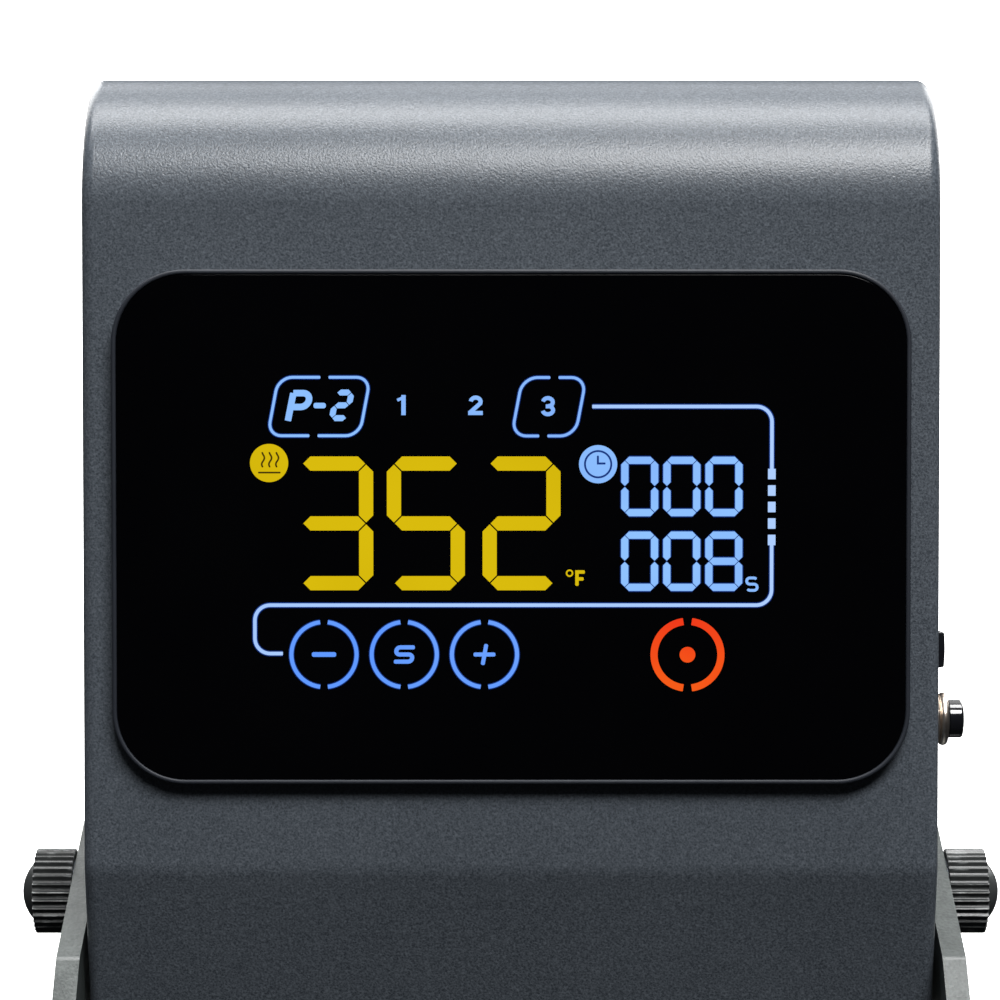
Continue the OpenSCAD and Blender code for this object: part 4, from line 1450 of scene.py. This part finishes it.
@dataclass
class Electronics:
    """The power board behind the rear cover and what is soldered to it."""

    shop: Workshop
    edges: tuple[tuple[str, float], ...] = (
        ("power_board", 0.1),
        ("power_board_standoffs", 0.15),
        ("power_board_screws", 0.15),
        ("transformer_core", 0.3),
        ("transformer_coil", 0.8),
        ("heater_relay", 0.5),
        ("terminal_block", 0.3),
        ("capacitors", 0.5),
        ("ribbon_cable", 0.15),
        ("ribbon_sockets", 0.3),
    )

    def build(self) -> None:
        """Builds each component with its own edge width in millimetres."""
        for node, edge_mm in self.edges:
            self.shop.refined(node, edge_mm)


# ---- Studio ----


@dataclass
class Studio:
    """Camera, floor, backdrop and lights."""

    head: HeadFrame
    aim: tuple[float, float] = (-2.35, 88.35)
    pitch: float = 2.1
    distance: float = 697.0
    lens: float = 119.5

    def build(self) -> None:
        """Sets up the studio."""
        self.camera()
        self.surround()
        self.lights()
        bpy.context.scene.view_settings.view_transform = "Standard"

    def camera(self) -> None:
        """Points the camera squarely at the head's face from slightly above it."""
        low, _ = self.head.box("front_shell")
        target = self.head.matrix @ Vector((self.aim[0] * MM, low.y, self.aim[1] * MM))
        height = self.head.lean + math.radians(self.pitch)
        back = Vector((0, -math.cos(height), math.sin(height)))
        data = bpy.data.cameras.new("camera")
        data.sensor_width, data.lens = 36, self.lens
        camera = bpy.data.objects.new("camera", data)
        bpy.context.scene.collection.objects.link(camera)
        camera.location = target + back * self.distance * MM
        camera.rotation_euler = (math.pi / 2 - height, 0, 0)
        bpy.context.scene.camera = camera

    def surround(self) -> None:
        """A pale floor and a pale backdrop that throw no light on the object."""
        material = bpy.data.materials.new("studio_white")
        material.use_nodes = True
        shader = material.node_tree.nodes["Principled BSDF"]
        shader.inputs["Base Color"].default_value = (0.8, 0.8, 0.8, 1)
        shader.inputs["Roughness"].default_value = 0.9
        shader.inputs["Emission Color"].default_value = (1, 1, 1, 1)
        shader.inputs["Emission Strength"].default_value = 0.95
        reach = 6.0
        floor = bmesh.new()
        bmesh.ops.create_circle(floor, cap_ends=True, segments=96, radius=reach)
        dome = bmesh.new()
        bmesh.ops.create_uvsphere(dome, u_segments=48, v_segments=24, radius=reach)
        for name, bm in (("floor", floor), ("backdrop", dome)):
            mesh = bpy.data.meshes.new(name)
            bm.to_mesh(mesh)
            bm.free()
            mesh.materials.append(material)
            piece = bpy.data.objects.new(name, mesh)
            bpy.context.scene.collection.objects.link(piece)
            piece.visible_diffuse = False
            piece.visible_glossy = False
            piece.visible_transmission = False
            piece.visible_shadow = False
        world = bpy.data.worlds.new("studio")
        bpy.context.scene.world = world
        world.use_nodes = True
        background = world.node_tree.nodes["Background"]
        background.inputs["Color"].default_value = linear("#d3dae4")
        background.inputs["Strength"].default_value = 0.035

    def softbox(
        self, name: str, azimuth: float, height: float, size: tuple[float, float], distance: float, watts: float
    ) -> None:
        """Hangs a softbox that faces the middle of the head.

        Args:
            name: Its name.
            azimuth: Degrees to the right of the face's own direction.
            height: Degrees above the face's own direction.
            size: Width and height in metres.
            distance: From the head, in metres.
            watts: Its power.
        """
        a, e = math.radians(azimuth), math.radians(height)
        way = Vector((math.sin(a) * math.cos(e), -math.cos(a) * math.cos(e), math.sin(e)))
        way = self.head.matrix.to_3x3() @ way
        middle = self.head.matrix @ Vector((0, 0, 90 * MM))
        data = bpy.data.lights.new(name, "AREA")
        data.shape = "RECTANGLE"
        data.size, data.size_y = size
        data.energy = watts
        light = bpy.data.objects.new(name, data)
        bpy.context.scene.collection.objects.link(light)
        light.location = middle + way * distance
        light.rotation_euler = way.to_track_quat("Z", "Y").to_euler()
        light.visible_camera = False

    def lights(self) -> None:
        """A strip overhead, a high key in front, a broad fill over the back, and two low fills."""
        self.softbox("overhead", 4, 89.2, (3.2, 0.95), 2.2, 122)
        self.softbox("key", 17, 48, (1.7, 0.9), 2.8, 118)
        self.softbox("over_back", 0, 126, (3.6, 1.6), 2.4, 28)
        self.softbox("rear_left", 215, 30, (0.8, 0.8), 1.4, 9)
        self.softbox("rear_right", 140, 25, (0.8, 0.8), 1.4, 9)


def main() -> None:
    """Builds every sub-assembly in order."""
    logging.basicConfig(level=logging.INFO, format="%(name)s: %(message)s")
    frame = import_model()
    head = HeadFrame.from_joints(frame["joints"])
    shop = Workshop(frame, head)
    Studio(head).build()
    HeadShell(shop).build()
    DisplayPanel(shop).build()
    SideControls(shop).build()
    for side in Side:
        ClampKnob(shop, side).build()
    Yoke(shop).build()
    CableGland(shop).build()
    Electronics(shop).build()


if __name__ == "__main__":
    main()
